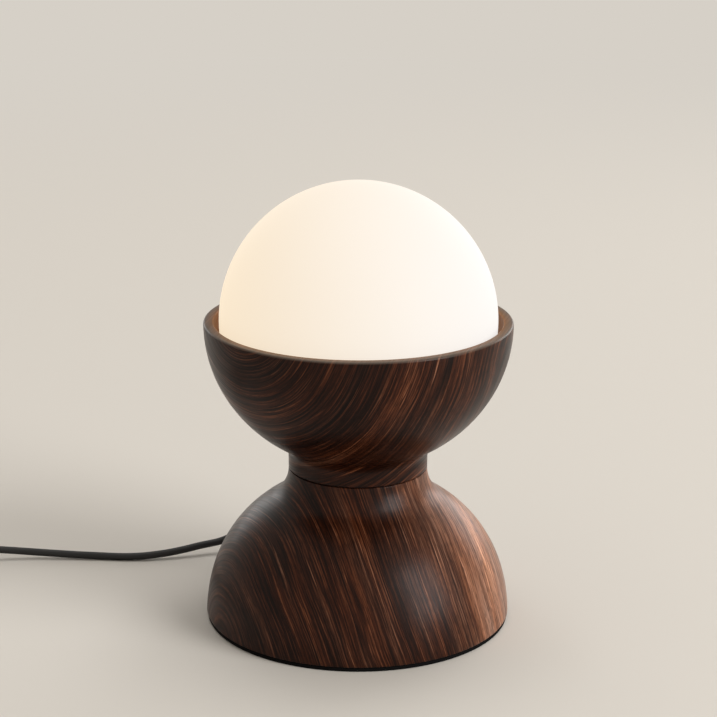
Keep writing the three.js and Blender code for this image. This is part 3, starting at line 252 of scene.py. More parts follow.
    def threads_in(self, tree: Tree, block: Socket, depth: Socket) -> Socket:
        """Give the thin pale threads: the lines where a slow noise passes its middle, in loose groups."""
        above = add_node(tree, "Math", {
            "operation": "SUBTRACT", 0: self.layers(tree, block, depth, self.thread_layer), 1: 0.5,
        })
        away = add_node(tree, "Math", {"operation": "ABSOLUTE", 0: above.outputs[0]})
        thread = add_node(tree, "MapRange", {
            "Value": away.outputs[0], "From Min": self.thread_width[0], "From Max": self.thread_width[1],
            "To Min": self.thread_lift, "To Max": 0.0,
        })
        present = add_node(tree, "MapRange", {
            "Value": self.layers(tree, block, depth, self.group_layer), "From Min": self.group_edge[0],
            "From Max": self.group_edge[1],
        })
        return add_node(tree, "Math", {
            "operation": "MULTIPLY", 0: thread.outputs["Result"], 1: present.outputs["Result"],
        }).outputs[0]

    def with_painted_globe_light(self, tree: Tree, block: Socket, colour: Socket) -> Socket:
        """Paint the globe's lamplight onto the bowl's inside wall, and paint light onto the rim's top: golden
        lamplight at its inner edge, a grey reflection further out.
        """
        if not self.hollow_radius:
            return colour
        away = add_node(tree, "VectorMath", {"operation": "DISTANCE", 0: block, 1: self.hollow_centre})
        height = add_node(tree, "SeparateXYZ", {"Vector": block}).outputs["Z"]
        across_rim = add_node(tree, "MapRange", {
            "Value": away.outputs["Value"], "From Min": self.hollow_radius,
            "From Max": self.hollow_radius + self.painted_rim_light_reach,
        })
        # The rim's painted light: golden lamplight by the hollow, a grey reflection further out
        painted_rim_light = add_node(tree, "Mix", {
            "data_type": "RGBA", 0: across_rim.outputs["Result"], 6: linear(self.painted_rim_lamplight),
            7: linear(self.painted_rim_reflection),
        })
        for value, edge, blur, share, tone in (
            (height, self.painted_rim_light_above, 0.8 * MM, self.painted_rim_light_share, painted_rim_light.outputs[2]),
            # Painted lamplight on everything inside the bowl's hollow
            (away.outputs["Value"], self.hollow_radius, -0.4 * MM, self.painted_lamplight_share, linear(self.painted_lamplight)),
        ):
            mask = add_node(tree, "MapRange", {
                "interpolation_type": "SMOOTHSTEP", "Value": value, "From Min": edge - blur,
                "From Max": edge + blur, "To Max": share,
            })
            colour = add_node(tree, "Mix", {
                "data_type": "RGBA", 0: mask.outputs["Result"], 6: colour, 7: tone,
            }).outputs[2]
        return colour

    @staticmethod
    def ramp(tree: Tree, value: Socket, stops: Sequence[tuple[float, str]]) -> Socket:
        """Give the colours of a ramp with the given stops."""
        node = add_node(tree, "ValToRGB", {"Fac": value})
        while len(node.color_ramp.elements) < len(stops):
            node.color_ramp.elements.new(1.0)
        for element, (stop, colour) in zip(node.color_ramp.elements, stops):
            element.position = stop
            element.color = linear(colour)
        return node.outputs["Color"]

    @staticmethod
    def layers(tree: Tree, block: Socket, depth: Socket, layer: Place) -> Socket:
        """Give noise with the layer's spacing across the growth layers and its length along them."""
        spacing, length, detail = layer
        place = add_node(tree, "Math", {"operation": "MULTIPLY", 0: depth, 1: length / spacing})
        return add_node(tree, "TexNoise", {
            "noise_dimensions": "4D", "Vector": block, "W": place.outputs[0], "Scale": 1 / length,
            "Detail": detail, "Roughness": 0.6,
        }).outputs["Fac"]


@dataclass(frozen=True)
class OpalGlass(Finish):
    """Blown opal glass, satin etched, glowing with the light of the bulb within; the glow is painted warmer
    on the left and whiter on the right, as painted light from the key light.
    """

    # The glow's colours: warmer on the left, whiter on the right, as painted light from the key light
    warm: str = "#f2dfc3"
    white: str = "#e8e5e3"
    glow: float = 0.99
    radius: float = 90 * MM
    ripple: float = 60 * MM
    ripple_depth: float = 0.6 * MM

    def pattern(self, tree: Tree) -> dict[str, object]:
        """Let the glass glow, with painted light warmer on the left and whiter on the right where the key
        light falls, and give it the faint ripple that blown glass has.
        """
        place = add_node(tree, "TexCoord").outputs["Object"]
        side = add_node(tree, "SeparateXYZ", {"Vector": place}).outputs["X"]
        across = add_node(tree, "MapRange", {
            "Value": side, "From Min": -self.radius, "From Max": self.radius,
        })
        # Painted light: the glow is warmer on the left and whiter on the right, where the key light falls
        shine = add_node(tree, "Mix", {
            "data_type": "RGBA", 0: across.outputs["Result"], 6: linear(self.warm), 7: linear(self.white),
        })
        ripple = add_node(tree, "TexNoise", {"Vector": place, "Scale": 1 / self.ripple, "Detail": 1.0})
        relief = add_node(tree, "Bump", {
            "Strength": 0.08, "Distance": self.ripple_depth, "Height": ripple.outputs["Fac"],
        })
        return {
            "Emission Color": shine.outputs[2], "Emission Strength": self.glow,
            "Normal": relief.outputs["Normal"],
        }


@dataclass(frozen=True)
class Grained(Finish):
    """A surface with an even fine grain: moulded plastic, rubber, foam, or a plated, cast or glazed skin."""

    grain: float = 0.5 * MM
    depth: float = 0.02 * MM
    mottle: float = 0.12
    cloud: float = 24.0  # a cloud's width in grains

    def pattern(self, tree: Tree) -> dict[str, object]:
        """Vary the colour and gloss a little over the surface and raise its grain."""
        place = add_node(tree, "TexCoord").outputs["Object"]
        cloud = add_node(tree, "TexNoise", {
            "Vector": place, "Scale": 1 / (self.cloud * self.grain), "Detail": 3.0,
        }).outputs["Fac"]
        shade, gloss = (
            add_node(tree, "MapRange", {
                "Value": cloud, "To Min": level * (1 - self.mottle),
                "To Max": min(most, level * (1 + self.mottle)),
            }).outputs["Result"]
            for level, most in ((1.0, 2.0), (self.roughness, 1.0))
        )
        tint = add_node(tree, "Mix", {
            "data_type": "RGBA", "blend_type": "MULTIPLY", 0: 1.0, 6: linear(self.colour), 7: shade,
        })
        grit = add_node(tree, "TexNoise", {"Vector": place, "Scale": 1 / self.grain, "Detail": 2.0})
        relief = add_node(tree, "Bump", {
            "Strength": 0.5, "Distance": self.depth, "Height": grit.outputs["Fac"],
        })
        return {"Base Color": tint.outputs[2], "Roughness": gloss, "Normal": relief.outputs["Normal"]}


# Rosewood-like hardwood: chocolate brown with black and tan streaks, under a satin lacquer.
BOWL_TIMBER = TurnedTimber(
    "rosewood_turned_satin_bowl", "timber", "#46281a", roughness=0.33, ior=1.45, specular_level=0.16,
    pith=(-80 * MM, -94 * MM, 227 * MM), along=(0.21, 0.78, -0.083),
    # Painted lamplight from the globe on the inside wall, and painted light on the rim's top
    hollow_centre=(0.0, 0.0, 201.5 * MM), hollow_radius=94.2 * MM, painted_rim_light_above=201 * MM,
)
# The dome comes from another block, with its pith beyond its left foot.
DOME_TIMBER = TurnedTimber(
    "rosewood_turned_satin_dome", "timber", "#46281a", roughness=0.33, ior=1.45, specular_level=0.16,
    pith=(-201 * MM, -163 * MM, -99 * MM), along=(-0.098, 0.107, 0.237),
    # Paler towards its right side: partly sapwood, partly painted light from the key light
    sapwood_and_painted_light_span=(275 * MM, 345 * MM), sapwood_and_painted_light_lift=0.28,
)
# Opal glass has a thin white flashed layer: it looks milky and glows with its bulb's light, painted warmer on
# the left and whiter on the right.
OPAL_GLASS = OpalGlass("opal_glass_satin_etched", "opal_glass", "#656360", roughness=0.7, ior=1.3)
# Closed-cell foam: deep matte black.
PAD_FOAM = Grained(
    "closed_cell_foam_matte", "foam", "#0a0909", roughness=0.92, specular_level=0.1,
    grain=0.7 * MM, depth=0.15 * MM,
)
# Vulcanised fibre washer, black and dull.
FIBRE = Grained("vulcanised_fibre_matte", "fibre", "#070606", roughness=0.9, grain=0.4 * MM)
# Painted cast iron: dark grey with a sandy skin.
CAST_IRON = Grained(
    "cast_iron_painted", "weight", "#39393b", roughness=0.7, metallic=0.3, grain=1.2 * MM, depth=0.12 * MM,
)
# Bright zinc plating has a pale cloudy shine.
ZINC = Grained(
    "steel_zinc_plated", "zinc", "#b9bcc0", roughness=0.34, metallic=1.0, grain=0.8 * MM, mottle=0.18,
)
# Turned brass, left plain.
BRASS = Grained("brass_turned", "brass", "#c8a250", roughness=0.3, metallic=1.0)
# Silicone rubber, milky and dull.
SILICONE = Grained("silicone_rubber_moulded", "silicone", "#d8d5cd", roughness=0.7)
# Injection-moulded thermoplastic in white: slight satin.
WHITE_PLASTIC = Grained(
    "thermoplastic_white_moulded", "white_plastic", "#ebe7de", roughness=0.42, mottle=0.04,
)
# Frosted polycarbonate of the bulb: white and soft.
DIFFUSER = Grained("polycarbonate_frosted", "diffuser", "#f3eee2", mottle=0.03)
# Injection-moulded thermoplastic in black, spark-eroded to a fine satin grain.
BLACK_PLASTIC = Grained("thermoplastic_black_moulded", "black_plastic", "#191818", grain=0.45 * MM)
# Round flex with an extruded black jacket that has a dull skin.
CORD_JACKET = Grained(
    "flex_jacket_extruded", "cord_jacket", "#121111", roughness=0.62, grain=0.9 * MM, depth=0.03 * MM,
)


def deselect_everything() -> None:
    """Leave object mode with nothing selected."""
    if bpy.context.object is not None and bpy.context.object.mode != "OBJECT":
        bpy.ops.object.mode_set(mode="OBJECT")
    bpy.ops.object.select_all(action="DESELECT")


def select_only(piece: Piece) -> None:
    """Select one object and make it the active one."""
    deselect_everything()
    piece.select_set(True)
    bpy.context.view_layer.objects.active = piece


def finish_edit() -> None:
    """Merge what meets, drop edges without a face, turn the faces outwards and leave edit mode."""
    bpy.ops.mesh.select_all(action="SELECT")
    bpy.ops.mesh.remove_doubles(threshold=WELD)
    bpy.ops.mesh.delete_loose()
    bpy.ops.mesh.select_all(action="SELECT")
    bpy.ops.mesh.normals_make_consistent(inside=False)
    bpy.ops.object.mode_set(mode="OBJECT")


def added(name: str, primitive: Callable[..., object], **options: object) -> Piece:
    """Add a primitive under a name."""
    deselect_everything()
    primitive(**options)
    piece = bpy.context.object
    piece.name = piece.data.name = name
    return piece


def draw_chain(name: str, points: Sequence[Vector]) -> Piece:
    """Draw a closed chain of edges by extruding one vertex from point to point, and stay in edit mode.

    Args:
        name: The new object's name.
        points: The chain's points in order, without the first one again at the end.

    Returns:
        The object, in edit mode, with its whole chain selected.
    """
    piece = added(name, bpy.ops.mesh.primitive_plane_add, size=MM)
    bpy.ops.object.mode_set(mode="EDIT")
    bpy.ops.mesh.select_all(action="SELECT")
    bpy.ops.mesh.merge(type="CENTER")
    bpy.ops.transform.translate(value=points[0])
    for here, there in zip(points, [*points[1:], points[0]]):
        bpy.ops.mesh.extrude_region_move(TRANSFORM_OT_translate={"value": there - here})
    bpy.ops.mesh.select_all(action="SELECT")
    bpy.ops.mesh.remove_doubles(threshold=WELD)
    return piece


def turned(name: str, outline: Sequence[Point], steps: int = ROUND_STEPS) -> Piece:
    """Turn a closed outline about the Z axis, as on a lathe.

    Args:
        name: The new piece's name.
        outline: Points of radius and height in order round the outline.
        steps: How many steps the full turn takes.

    Returns:
        The turned piece, smooth but for its sharp edges.
    """
    piece = draw_chain(name, [Vector((max(radius, 0.0), 0.0, height)) for radius, height in outline])
    bpy.ops.mesh.spin(steps=steps, angle=math.tau, center=(0, 0, 0), axis=(0, 0, 1))
    finish_edit()
    return smoothed(piece)


def prism(name: str, outline: Sequence[Point], low: float, high: float) -> Piece:
    """Raise a closed outline in the XY plane from one height to another.

    Args:
        name: The new piece's name.
        outline: Points of x and y in order round the outline.
        low: The height of the lower face.
        high: The height of the upper face.

    Returns:
        The prism, with flat faces.
    """
    piece = draw_chain(name, [Vector((x, y, low)) for x, y in outline])
    bpy.ops.mesh.edge_face_add()
    bpy.ops.mesh.extrude_region_move(TRANSFORM_OT_translate={"value": (0, 0, high - low)})
    finish_edit()
    return piece


def smoothed(piece: Piece, sharp: float = math.radians(35)) -> Piece:
    """Shade a piece smooth except over edges sharper than the given angle."""
    select_only(piece)
    bpy.ops.object.shade_smooth_by_angle(angle=sharp)
    return piece


def moved(piece: Piece, at: Place = (0, 0, 0), turn: Place = (0, 0, 0)) -> Piece:
    """Turn and move a piece, and put its place into its mesh."""
    piece.matrix_world = Matrix.LocRotScale(Vector(at), None, None) @ euler_matrix(turn)
    select_only(piece)
    bpy.ops.object.transform_apply(location=True, rotation=True, scale=True)
    return piece


def euler_matrix(turn: Place) -> Matrix:
    """Give the matrix of turns about X, then Y, then Z."""
    about_x, about_y, about_z = (Matrix.Rotation(angle, 4, axis) for angle, axis in zip(turn, "XYZ"))
    return about_z @ about_y @ about_x


def applied(piece: Piece, kind: str, **settings: object) -> Piece:
    """Apply a modifier of a kind to a piece, and shade the piece anew."""
    select_only(piece)
    modifier = piece.modifiers.new("shaping", kind)
    for name, value in settings.items():
        setattr(modifier, name, value)
    bpy.ops.object.modifier_apply(modifier=modifier.name)
    return smoothed(piece)


def bevelled(piece: Piece, width: float, segments: int = 3, limit: float = math.radians(40)) -> Piece:
    """Round the edges of a piece that are sharper than the limit."""
    return applied(piece, "BEVEL", width=width, segments=segments, limit_method="ANGLE", angle_limit=limit)


def combined(piece: Piece, other: Piece, how: str = "DIFFERENCE") -> Piece:
    """Cut another solid out of a piece or join it to the piece, and delete the other.

    Args:
        piece: The piece that stays.
        other: The solid that is used up.
        how: DIFFERENCE, UNION or INTERSECT.

    Returns:
        The piece.
    """
    applied(piece, "BOOLEAN", operation=how, solver="EXACT", object=other)
    used_mesh = other.data
    bpy.data.objects.remove(other)
    bpy.data.meshes.remove(used_mesh)
    return piece


def cut_box(piece: Piece, size: Place, centre: Place, edge: float = 0.0) -> Piece:
    """Cut a box out of a piece, with the box's edges rounded where a radius is given."""
    box = added("cutter", bpy.ops.mesh.primitive_cube_add, size=1.0)
    box.scale = size
    box.location = centre
    bpy.ops.object.transform_apply(location=True, rotation=True, scale=True)
    return combined(piece, bevelled(box, edge) if edge else box)


def cylinder(radius: float, depth: float, vertices: int) -> Piece:
    """Add a cylinder about the origin, to cut with or to join on."""
    return added(
        "cylinder", bpy.ops.mesh.primitive_cylinder_add, vertices=vertices, radius=radius, depth=depth,
    )


def hand_over(piece: Piece, finish: Finish, body: Body, *stands_for: str) -> None:
    """Dress a finished piece and let it move with its body, in place of its CAD nodes."""
    piece.data.materials.clear()
    piece.data.materials.append(finish.material())
    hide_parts(*stands_for)
    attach(piece, body.value)
    log.info("%s: %s", piece.name, finish.name)


def spread(start: float, end: float, steps: int) -> list[float]:
    """Give evenly spaced values, both ends included."""
    return [start + (end - start) * i / steps for i in range(steps + 1)]


def eased(share: float) -> float:
    """Give a share that starts and ends gently."""
    return share * share * (3 - 2 * share)


def arc(centre: Point, radius: float, start: float, end: float, steps: int) -> list[Point]:
    """Give points along a circle's arc, both ends included."""
    return [
        (centre[0] + radius * math.cos(angle), centre[1] + radius * math.sin(angle))
        for angle in spread(start, end, steps)
    ]


def peg(
    radius: float, low: float, high: float, foot: float = 0.0, head: float = 0.0, steps: int = 4,
) -> list[Point]:
    """Give the outline of a round peg or disc from the axis out, to be turned.

    Args:
        radius: The peg's radius.
        low: The height of its foot.
        high: The height of its head.
        foot: How far the foot's edge is rounded.
        head: How far the head's edge is rounded.
        steps: How many steps each rounding takes.

    Returns:
        Points of radius and height.
    """
    return [
        (0.0, low),
        *(arc((radius - foot, low + foot), foot, -QUARTER, 0, steps) if foot else [(radius, low)]),
        *(arc((radius - head, high - head), head, 0, QUARTER, steps) if head else [(radius, high)]),
        (0.0, high),
    ]


@dataclass(frozen=True)
class Superellipse:
    """A quarter curve about a point on the turning axis, from its widest at angle 0 to its pole."""

    radius: float
    rise: float
    fullness: float
    middle: float

    def place(self, angle: float) -> Point:
        """Give the point of the curve at an angle."""
        power = 2 / self.fullness
        return (
            self.radius * max(math.cos(angle), 0.0) ** power,
            self.middle + self.rise * max(math.sin(angle), 0.0) ** power,
        )

    def outward(self, angle: float) -> Point:
        """Give the unit normal of the curve at an angle."""
        radius, height = self.place(angle)
        along_radius = (radius / self.radius) ** (self.fullness - 1) / self.radius
        along_height = ((height - self.middle) / self.rise) ** (self.fullness - 1) / self.rise
        length = math.hypot(along_radius, along_height)
        return along_radius / length, along_height / length

    def points(self, start: float, end: float, steps: int) -> list[Point]:
        """Give points along the curve between two angles, both ends included."""
        return [self.place(angle) for angle in spread(start, end, steps)]

    def angle_at_height(self, height: float) -> float:
        """Give the angle at which the curve reaches a height."""
        return angle_where(lambda angle: -abs(self.place(angle)[1] - self.middle), -abs(height - self.middle))


def touching(curve: Superellipse, angle: float, centre: Point) -> float:
    """Give the direction from a ball's centre to the point of the curve that the ball touches."""
    radius, height = curve.place(angle)
    return math.atan2(height - centre[1], radius - centre[0]) % math.tau


def angle_where(falling: Callable[[float], float], target: float) -> float:
    """Find by halving the angle at which a value that falls along a quarter turn reaches its target."""
    low, high = 0.0, QUARTER
    for _ in range(50):
        middle = (low + high) / 2
        if falling(middle) > target:
            low = middle
        else:
            high = middle
    return (low + high) / 2


def neck_fillet(curve: Superellipse, neck: float, ball: float, steps: int) -> tuple[float, list[Point]]:
    """Roll a ball into the corner between a curve and the neck.

    Args:
        curve: The curve that runs into the neck.
        neck: The neck's radius.
        ball: The ball's radius.
        steps: How many steps the fillet takes.

    Returns:
        The angle on the curve where the fillet ends, and the fillet's points from the neck to there.
    """
    def centre_at(angle: float) -> Point:
        """Give the centre of the ball that touches the curve at an angle."""
        (radius, height), (out, up) = curve.place(angle), curve.outward(angle)
        return radius + out * ball, height + up * ball

    angle = angle_where(lambda a: centre_at(a)[0], neck + ball)
    centre = centre_at(angle)
    return angle, arc(centre, ball, math.pi, touching(curve, angle, centre), steps)


def fillet_from(height: float, curve: Superellipse, neck: float, steps: int) -> tuple[float, list[Point]]:
    """Find the fillet that starts upright at a height on the neck and runs out onto a curve.

    Args:
        height: The height at which the fillet starts.
        curve: The curve that it runs out onto.
        neck: The neck's radius.
        steps: How many steps the fillet takes.

    Returns:
        The angle on the curve where the fillet ends, and the fillet's points from there to the neck.
    """
    def ball_at(angle: float) -> float:
        """Give the radius of a ball at the height that touches the curve at an angle."""
        return (height - curve.place(angle)[1]) / curve.outward(angle)[1]

    def spare(angle: float) -> float:
        """Give how far that ball stays clear of the neck."""
        return curve.place(angle)[0] + curve.outward(angle)[0] * ball_at(angle) - neck - ball_at(angle)

    angle = angle_where(spare, 0.0)
    ball = ball_at(angle)
    centre = (neck + ball, height)
    return angle, arc(centre, ball, touching(curve, angle, centre), math.pi, steps)


@dataclass
class Camera:
    """The camera, at the viewpoint fitted to the photograph."""

    distance: float = 1.3
    height: float = 0.55497
    pitch: float = 0.2841
    roll: float = math.radians(0.25)
    focal_pixels: float = 2088.5
    axis_column: float = 358.4
    sensor: float = 36.0

    def build(self) -> None:
        """Add the camera and make it the scene's."""
        data = bpy.data.cameras.new("camera")
        data.sensor_fit = "HORIZONTAL"
        data.sensor_width = self.sensor
        data.lens = self.focal_pixels / IMAGE_SIDE * self.sensor
        data.shift_x = (IMAGE_SIDE / 2 - self.axis_column) / IMAGE_SIDE
        data.clip_end = 60.0
        camera = bpy.data.objects.new("camera", data)
        bpy.context.scene.collection.objects.link(camera)
        camera.matrix_world = (
            Matrix.Translation((0, -self.distance, self.height))
            @ Matrix.Rotation(QUARTER - self.pitch, 4, "X")
            @ Matrix.Rotation(self.roll, 4, "Z")
        )
        bpy.context.scene.camera = camera


@dataclass
class Studio:
    """A plain pale floor and soft light."""

    floor_size: float = 24.0
    fade: Point = (0.9, 2.6)
    floor_colour: str = "#d5cfc6"
    backdrop_colour: str = "#d6d0c7"
    ambient_colour: str = "#f4efe8"
    ambient: float = 0.43
    lights: tuple[tuple[str, Place, Point, float], ...] = (
        ("softbox_right", (4.4, -2.6, 2.5), (2.8, 4.2), 270.0),
        ("softbox_far_right", (3.4, 4.6, 1.5), (3.6, 2.6), 90.0),
        ("softbox_far_left", (-2.8, 5.0, 1.2), (2.0, 2.0), 26.0),
        ("softbox_top", (0.3, 1.5, 6.0), (4.0, 3.0), 110.0),
    )
    aim: Place = (0.0, 0.0, 0.12)

    def build(self) -> None:
        """Add the floor, the world and the lights."""
        self.build_floor()
        self.build_world()
        for name, place, size, power in self.lights:
            self.add_light(name, place, size, power)
        bpy.context.scene.view_settings.view_transform = "Standard"

    def build_floor(self) -> None:
        """Lay a plain matte floor under the lamp, which fades into the backdrop far off."""
        floor = added("floor", bpy.ops.mesh.primitive_plane_add, size=self.floor_size)
        paper = Finish("paper_floor", "", self.floor_colour, roughness=0.85).material()
        tree = paper.node_tree
        output = tree.nodes["Material Output"]
        lit = output.inputs["Surface"].links[0].from_socket
        place = add_node(tree, "TexCoord").outputs["Object"]
        away = add_node(tree, "VectorMath", {"operation": "LENGTH", 0: place}).outputs["Value"]
        fade = add_node(tree, "MapRange", {
            "interpolation_type": "SMOOTHSTEP", "Value": away,
            "From Min": self.fade[0], "From Max": self.fade[1],
        })
        share = add_node(tree, "Math", {
            "operation": "MULTIPLY", 0: fade.outputs["Result"], 1: self.seen_rays(tree),
        })
        far = add_node(tree, "Emission", {"Color": linear(self.backdrop_colour), "Strength": 1.0})
        mixed = add_node(tree, "MixShader", {0: share.outputs[0], 1: lit, 2: far.outputs["Emission"]})
        tree.links.new(mixed.outputs[0], output.inputs["Surface"])
        floor.data.materials.append(paper)

    @staticmethod
    def seen_rays(tree: Tree) -> Socket:
        """Give 1 for the rays that show a backdrop: the camera's own, and gloss and transmission rays."""
        rays = add_node(tree, "LightPath").outputs
        seen = rays["Is Camera Ray"]
        for kind in ("Is Transmission Ray", "Is Glossy Ray"):
            seen = add_node(tree, "Math", {"operation": "MAXIMUM", 0: seen, 1: rays[kind]}).outputs[0]
        return seen

    def build_world(self) -> None:
        """Show a pale backdrop to the camera and in reflections, and light softly from all round."""
        world = bpy.data.worlds.new("studio")
        bpy.context.scene.world = world
        world.use_nodes = True
        tree = world.node_tree
        tree.nodes.clear()
        shown = add_node(tree, "Background", {"Color": linear(self.backdrop_colour), "Strength": 1.0})
        lit = add_node(tree, "Background", {"Color": linear(self.ambient_colour), "Strength": self.ambient})
        mixed = add_node(tree, "MixShader", {0: self.seen_rays(tree), 1: lit.outputs[0], 2: shown.outputs[0]})
        add_node(tree, "OutputWorld", {"Surface": mixed.outputs[0]})

    def add_light(self, name: str, place: Place, size: Point, power: float) -> None:
        """Add a softbox that faces the lamp."""
        data = bpy.data.lights.new(name, "AREA")
        data.shape = "RECTANGLE"
        data.size, data.size_y = size
        data.energy = power
        light = bpy.data.objects.new(name, data)
        bpy.context.scene.collection.objects.link(light)
        light.location = place
        light.rotation_euler = (Vector(self.aim) - Vector(place)).to_track_quat("-Z", "Y").to_euler()


@dataclass
class Flex:
    """The mains cord: its stretch to the switch, and the stretch that is wound up and ends in the plug."""

    diameter: float = 5.2 * MM
    exit_azimuth: float = math.radians(130)
    exit_height: float = 15 * MM
    exit_distance: float = 100.4 * MM
    relief_tip: float = 124.4 * MM
    hidden_end: float = 5 * MM
    switch_x: float = -273 * MM
    switch_far_x: float = -335 * MM
    switch_y: float = 86 * MM
    switch_axis: float = 9 * MM
    coil_x: float = -374 * MM
    coil_turns: float = 7.25
    coil_inner_radius: float = 20.8 * MM
    coil_turn_gap: float = 0.5 * MM
    coil_climb_turns: float = 0.5
    coil_steps_per_turn: int = 24
    tie_thickness: float = 0.9 * MM
    tie_gap: float = 0.45 * MM
    plug_lead: float = 30 * MM
    plug_axis: float = 7 * MM
    slope_shares: Point = (0.3, 0.7)
    joint_gap: float = 0.3 * MM
    length_to_switch: float = 0.208
    length_to_plug: float = 1.51
    # Its route over the table, in millimetres
    route: tuple[Place, ...] = (
        (-87.7, 102, 13.3), (-93, 102.4, 10.9), (-98.6, 101.4, 8.9), (-105, 99.4, 8), (-112.2, 97, 7.3),
        (-123.8, 93, 5.7), (-139.6, 89, 3.9), (-159.4, 86.6, 2.7), (-186.8, 88, 2.7), (-214.4, 89.2, 3.7),
        (-244.5, 88.4, 6.1), (-256.5, 86.6, 7.6), (-266, 86, 8.9),
    )

    @property
    def coil_pitch(self) -> float:
        """Give the distance between neighbouring turns."""
        return self.diameter + self.coil_turn_gap

    @property
    def coil_outer_radius(self) -> float:
        """Give the radius of the outermost turn's centreline."""
        return self.coil_inner_radius + self.coil_pitch * self.coil_turns / 2

    @property
    def coil_y(self) -> float:
        """Give the Y of the coil's middle."""
        return self.switch_y - self.coil_outer_radius

    @property
    def coil_low(self) -> float:
        """Give the height of the lower layer's centreline."""
        return self.tie_thickness + self.tie_gap + self.diameter / 2

    def along_exit(self, distance: float) -> Place:
        """Give a point on the line in which the cord leaves the dome."""
        x, y = distance * math.cos(self.exit_azimuth), distance * math.sin(self.exit_azimuth)
        return x, y, self.exit_height

    def first_points(self) -> list[Place]:
        """Give the points of the stretch from the strain relief to the switch."""
        return [
            self.along_exit(self.relief_tip - self.hidden_end),
            self.along_exit(self.relief_tip),
            self.along_exit(self.relief_tip + self.diameter),
            *(tuple(c * MM for c in point) for point in self.route),
            (self.switch_x, self.switch_y, self.switch_axis),
            (self.switch_x - self.hidden_end, self.switch_y, self.switch_axis),
        ]

    def coil_points(self) -> list[Place]:
        """Give the coil's points: in on the lower layer, up at its middle, and out on the upper layer."""
        points = []
        for i in range(int(self.coil_turns * self.coil_steps_per_turn) + 1):
            turn = i / self.coil_steps_per_turn
            from_middle = turn - self.coil_turns / 2
            radius = self.coil_inner_radius + self.coil_pitch * abs(from_middle)
            climbed = min(max(from_middle / self.coil_climb_turns + 0.5, 0.0), 1.0)
            angle = QUARTER + math.tau * turn
            points.append((
                self.coil_x + radius * math.cos(angle),
                self.coil_y + radius * math.sin(angle),
                self.coil_low + self.coil_pitch * climbed,
            ))
        return points

    def second_points(self) -> list[Place]:
        """Give the points of the stretch from the switch through the coil to the plug."""
        coil_start = self.coil_x + self.diameter + self.joint_gap
        drop = self.coil_low - self.switch_axis
        way = coil_start - self.switch_far_x
        plug_x = self.coil_x - self.coil_outer_radius
        coil_high = self.coil_low + self.coil_pitch
        coil_end = self.coil_y - self.diameter - self.joint_gap
        plug_y = coil_end - self.plug_lead
        slope = [
            (self.switch_far_x + way * share, self.switch_y, self.switch_axis + drop * eased(share))
            for share in self.slope_shares
        ]
        return [
            (self.switch_far_x + self.hidden_end, self.switch_y, self.switch_axis),
            (self.switch_far_x, self.switch_y, self.switch_axis),
            (self.switch_far_x - self.diameter, self.switch_y, self.switch_axis),
            *slope,
            (coil_start, self.switch_y, self.coil_low),
            *self.coil_points(),
            (plug_x, coil_end, coil_high),
            (plug_x, coil_end - self.diameter, coil_high),
            (plug_x, coil_end - self.plug_lead / 2, (coil_high + self.plug_axis) / 2),
            (plug_x, plug_y + self.diameter, self.plug_axis),
            (plug_x, plug_y, self.plug_axis),
            (plug_x, plug_y - self.hidden_end, self.plug_axis),
        ]

    def lay(self, name: str, points: Sequence[Place]) -> Piece:
        """Lay a round cord on one smooth curve through the points."""
        curve = bpy.data.curves.new(name, "CURVE")
        curve.dimensions = "3D"
        curve.bevel_depth = self.diameter / 2
        curve.bevel_resolution = 5
        curve.resolution_u = 8 if len(points) < 40 else 4
        curve.use_fill_caps = True
        spline = curve.splines.new("BEZIER")
        spline.bezier_points.add(len(points) - 1)
        for knot, point in zip(spline.bezier_points, points):
            knot.co = point
            knot.handle_left_type = knot.handle_right_type = "AUTO"
        piece = bpy.data.objects.new(name, curve)
        bpy.context.scene.collection.objects.link(piece)
        return piece

    def build(self) -> None:
        """Lay both stretches."""
        hand_over(self.lay(TO_SWITCH, self.first_points()), CORD_JACKET, Body.LAMP, "cord_to_switch")
        to_plug = self.lay(TO_PLUG, self.second_points())
        hand_over(to_plug, CORD_JACKET, Body.LAMP, "cord_to_coil", "cord_coil", "cord_to_plug")


TO_SWITCH = "flex_to_switch"
TO_PLUG = "flex_coiled_to_plug"


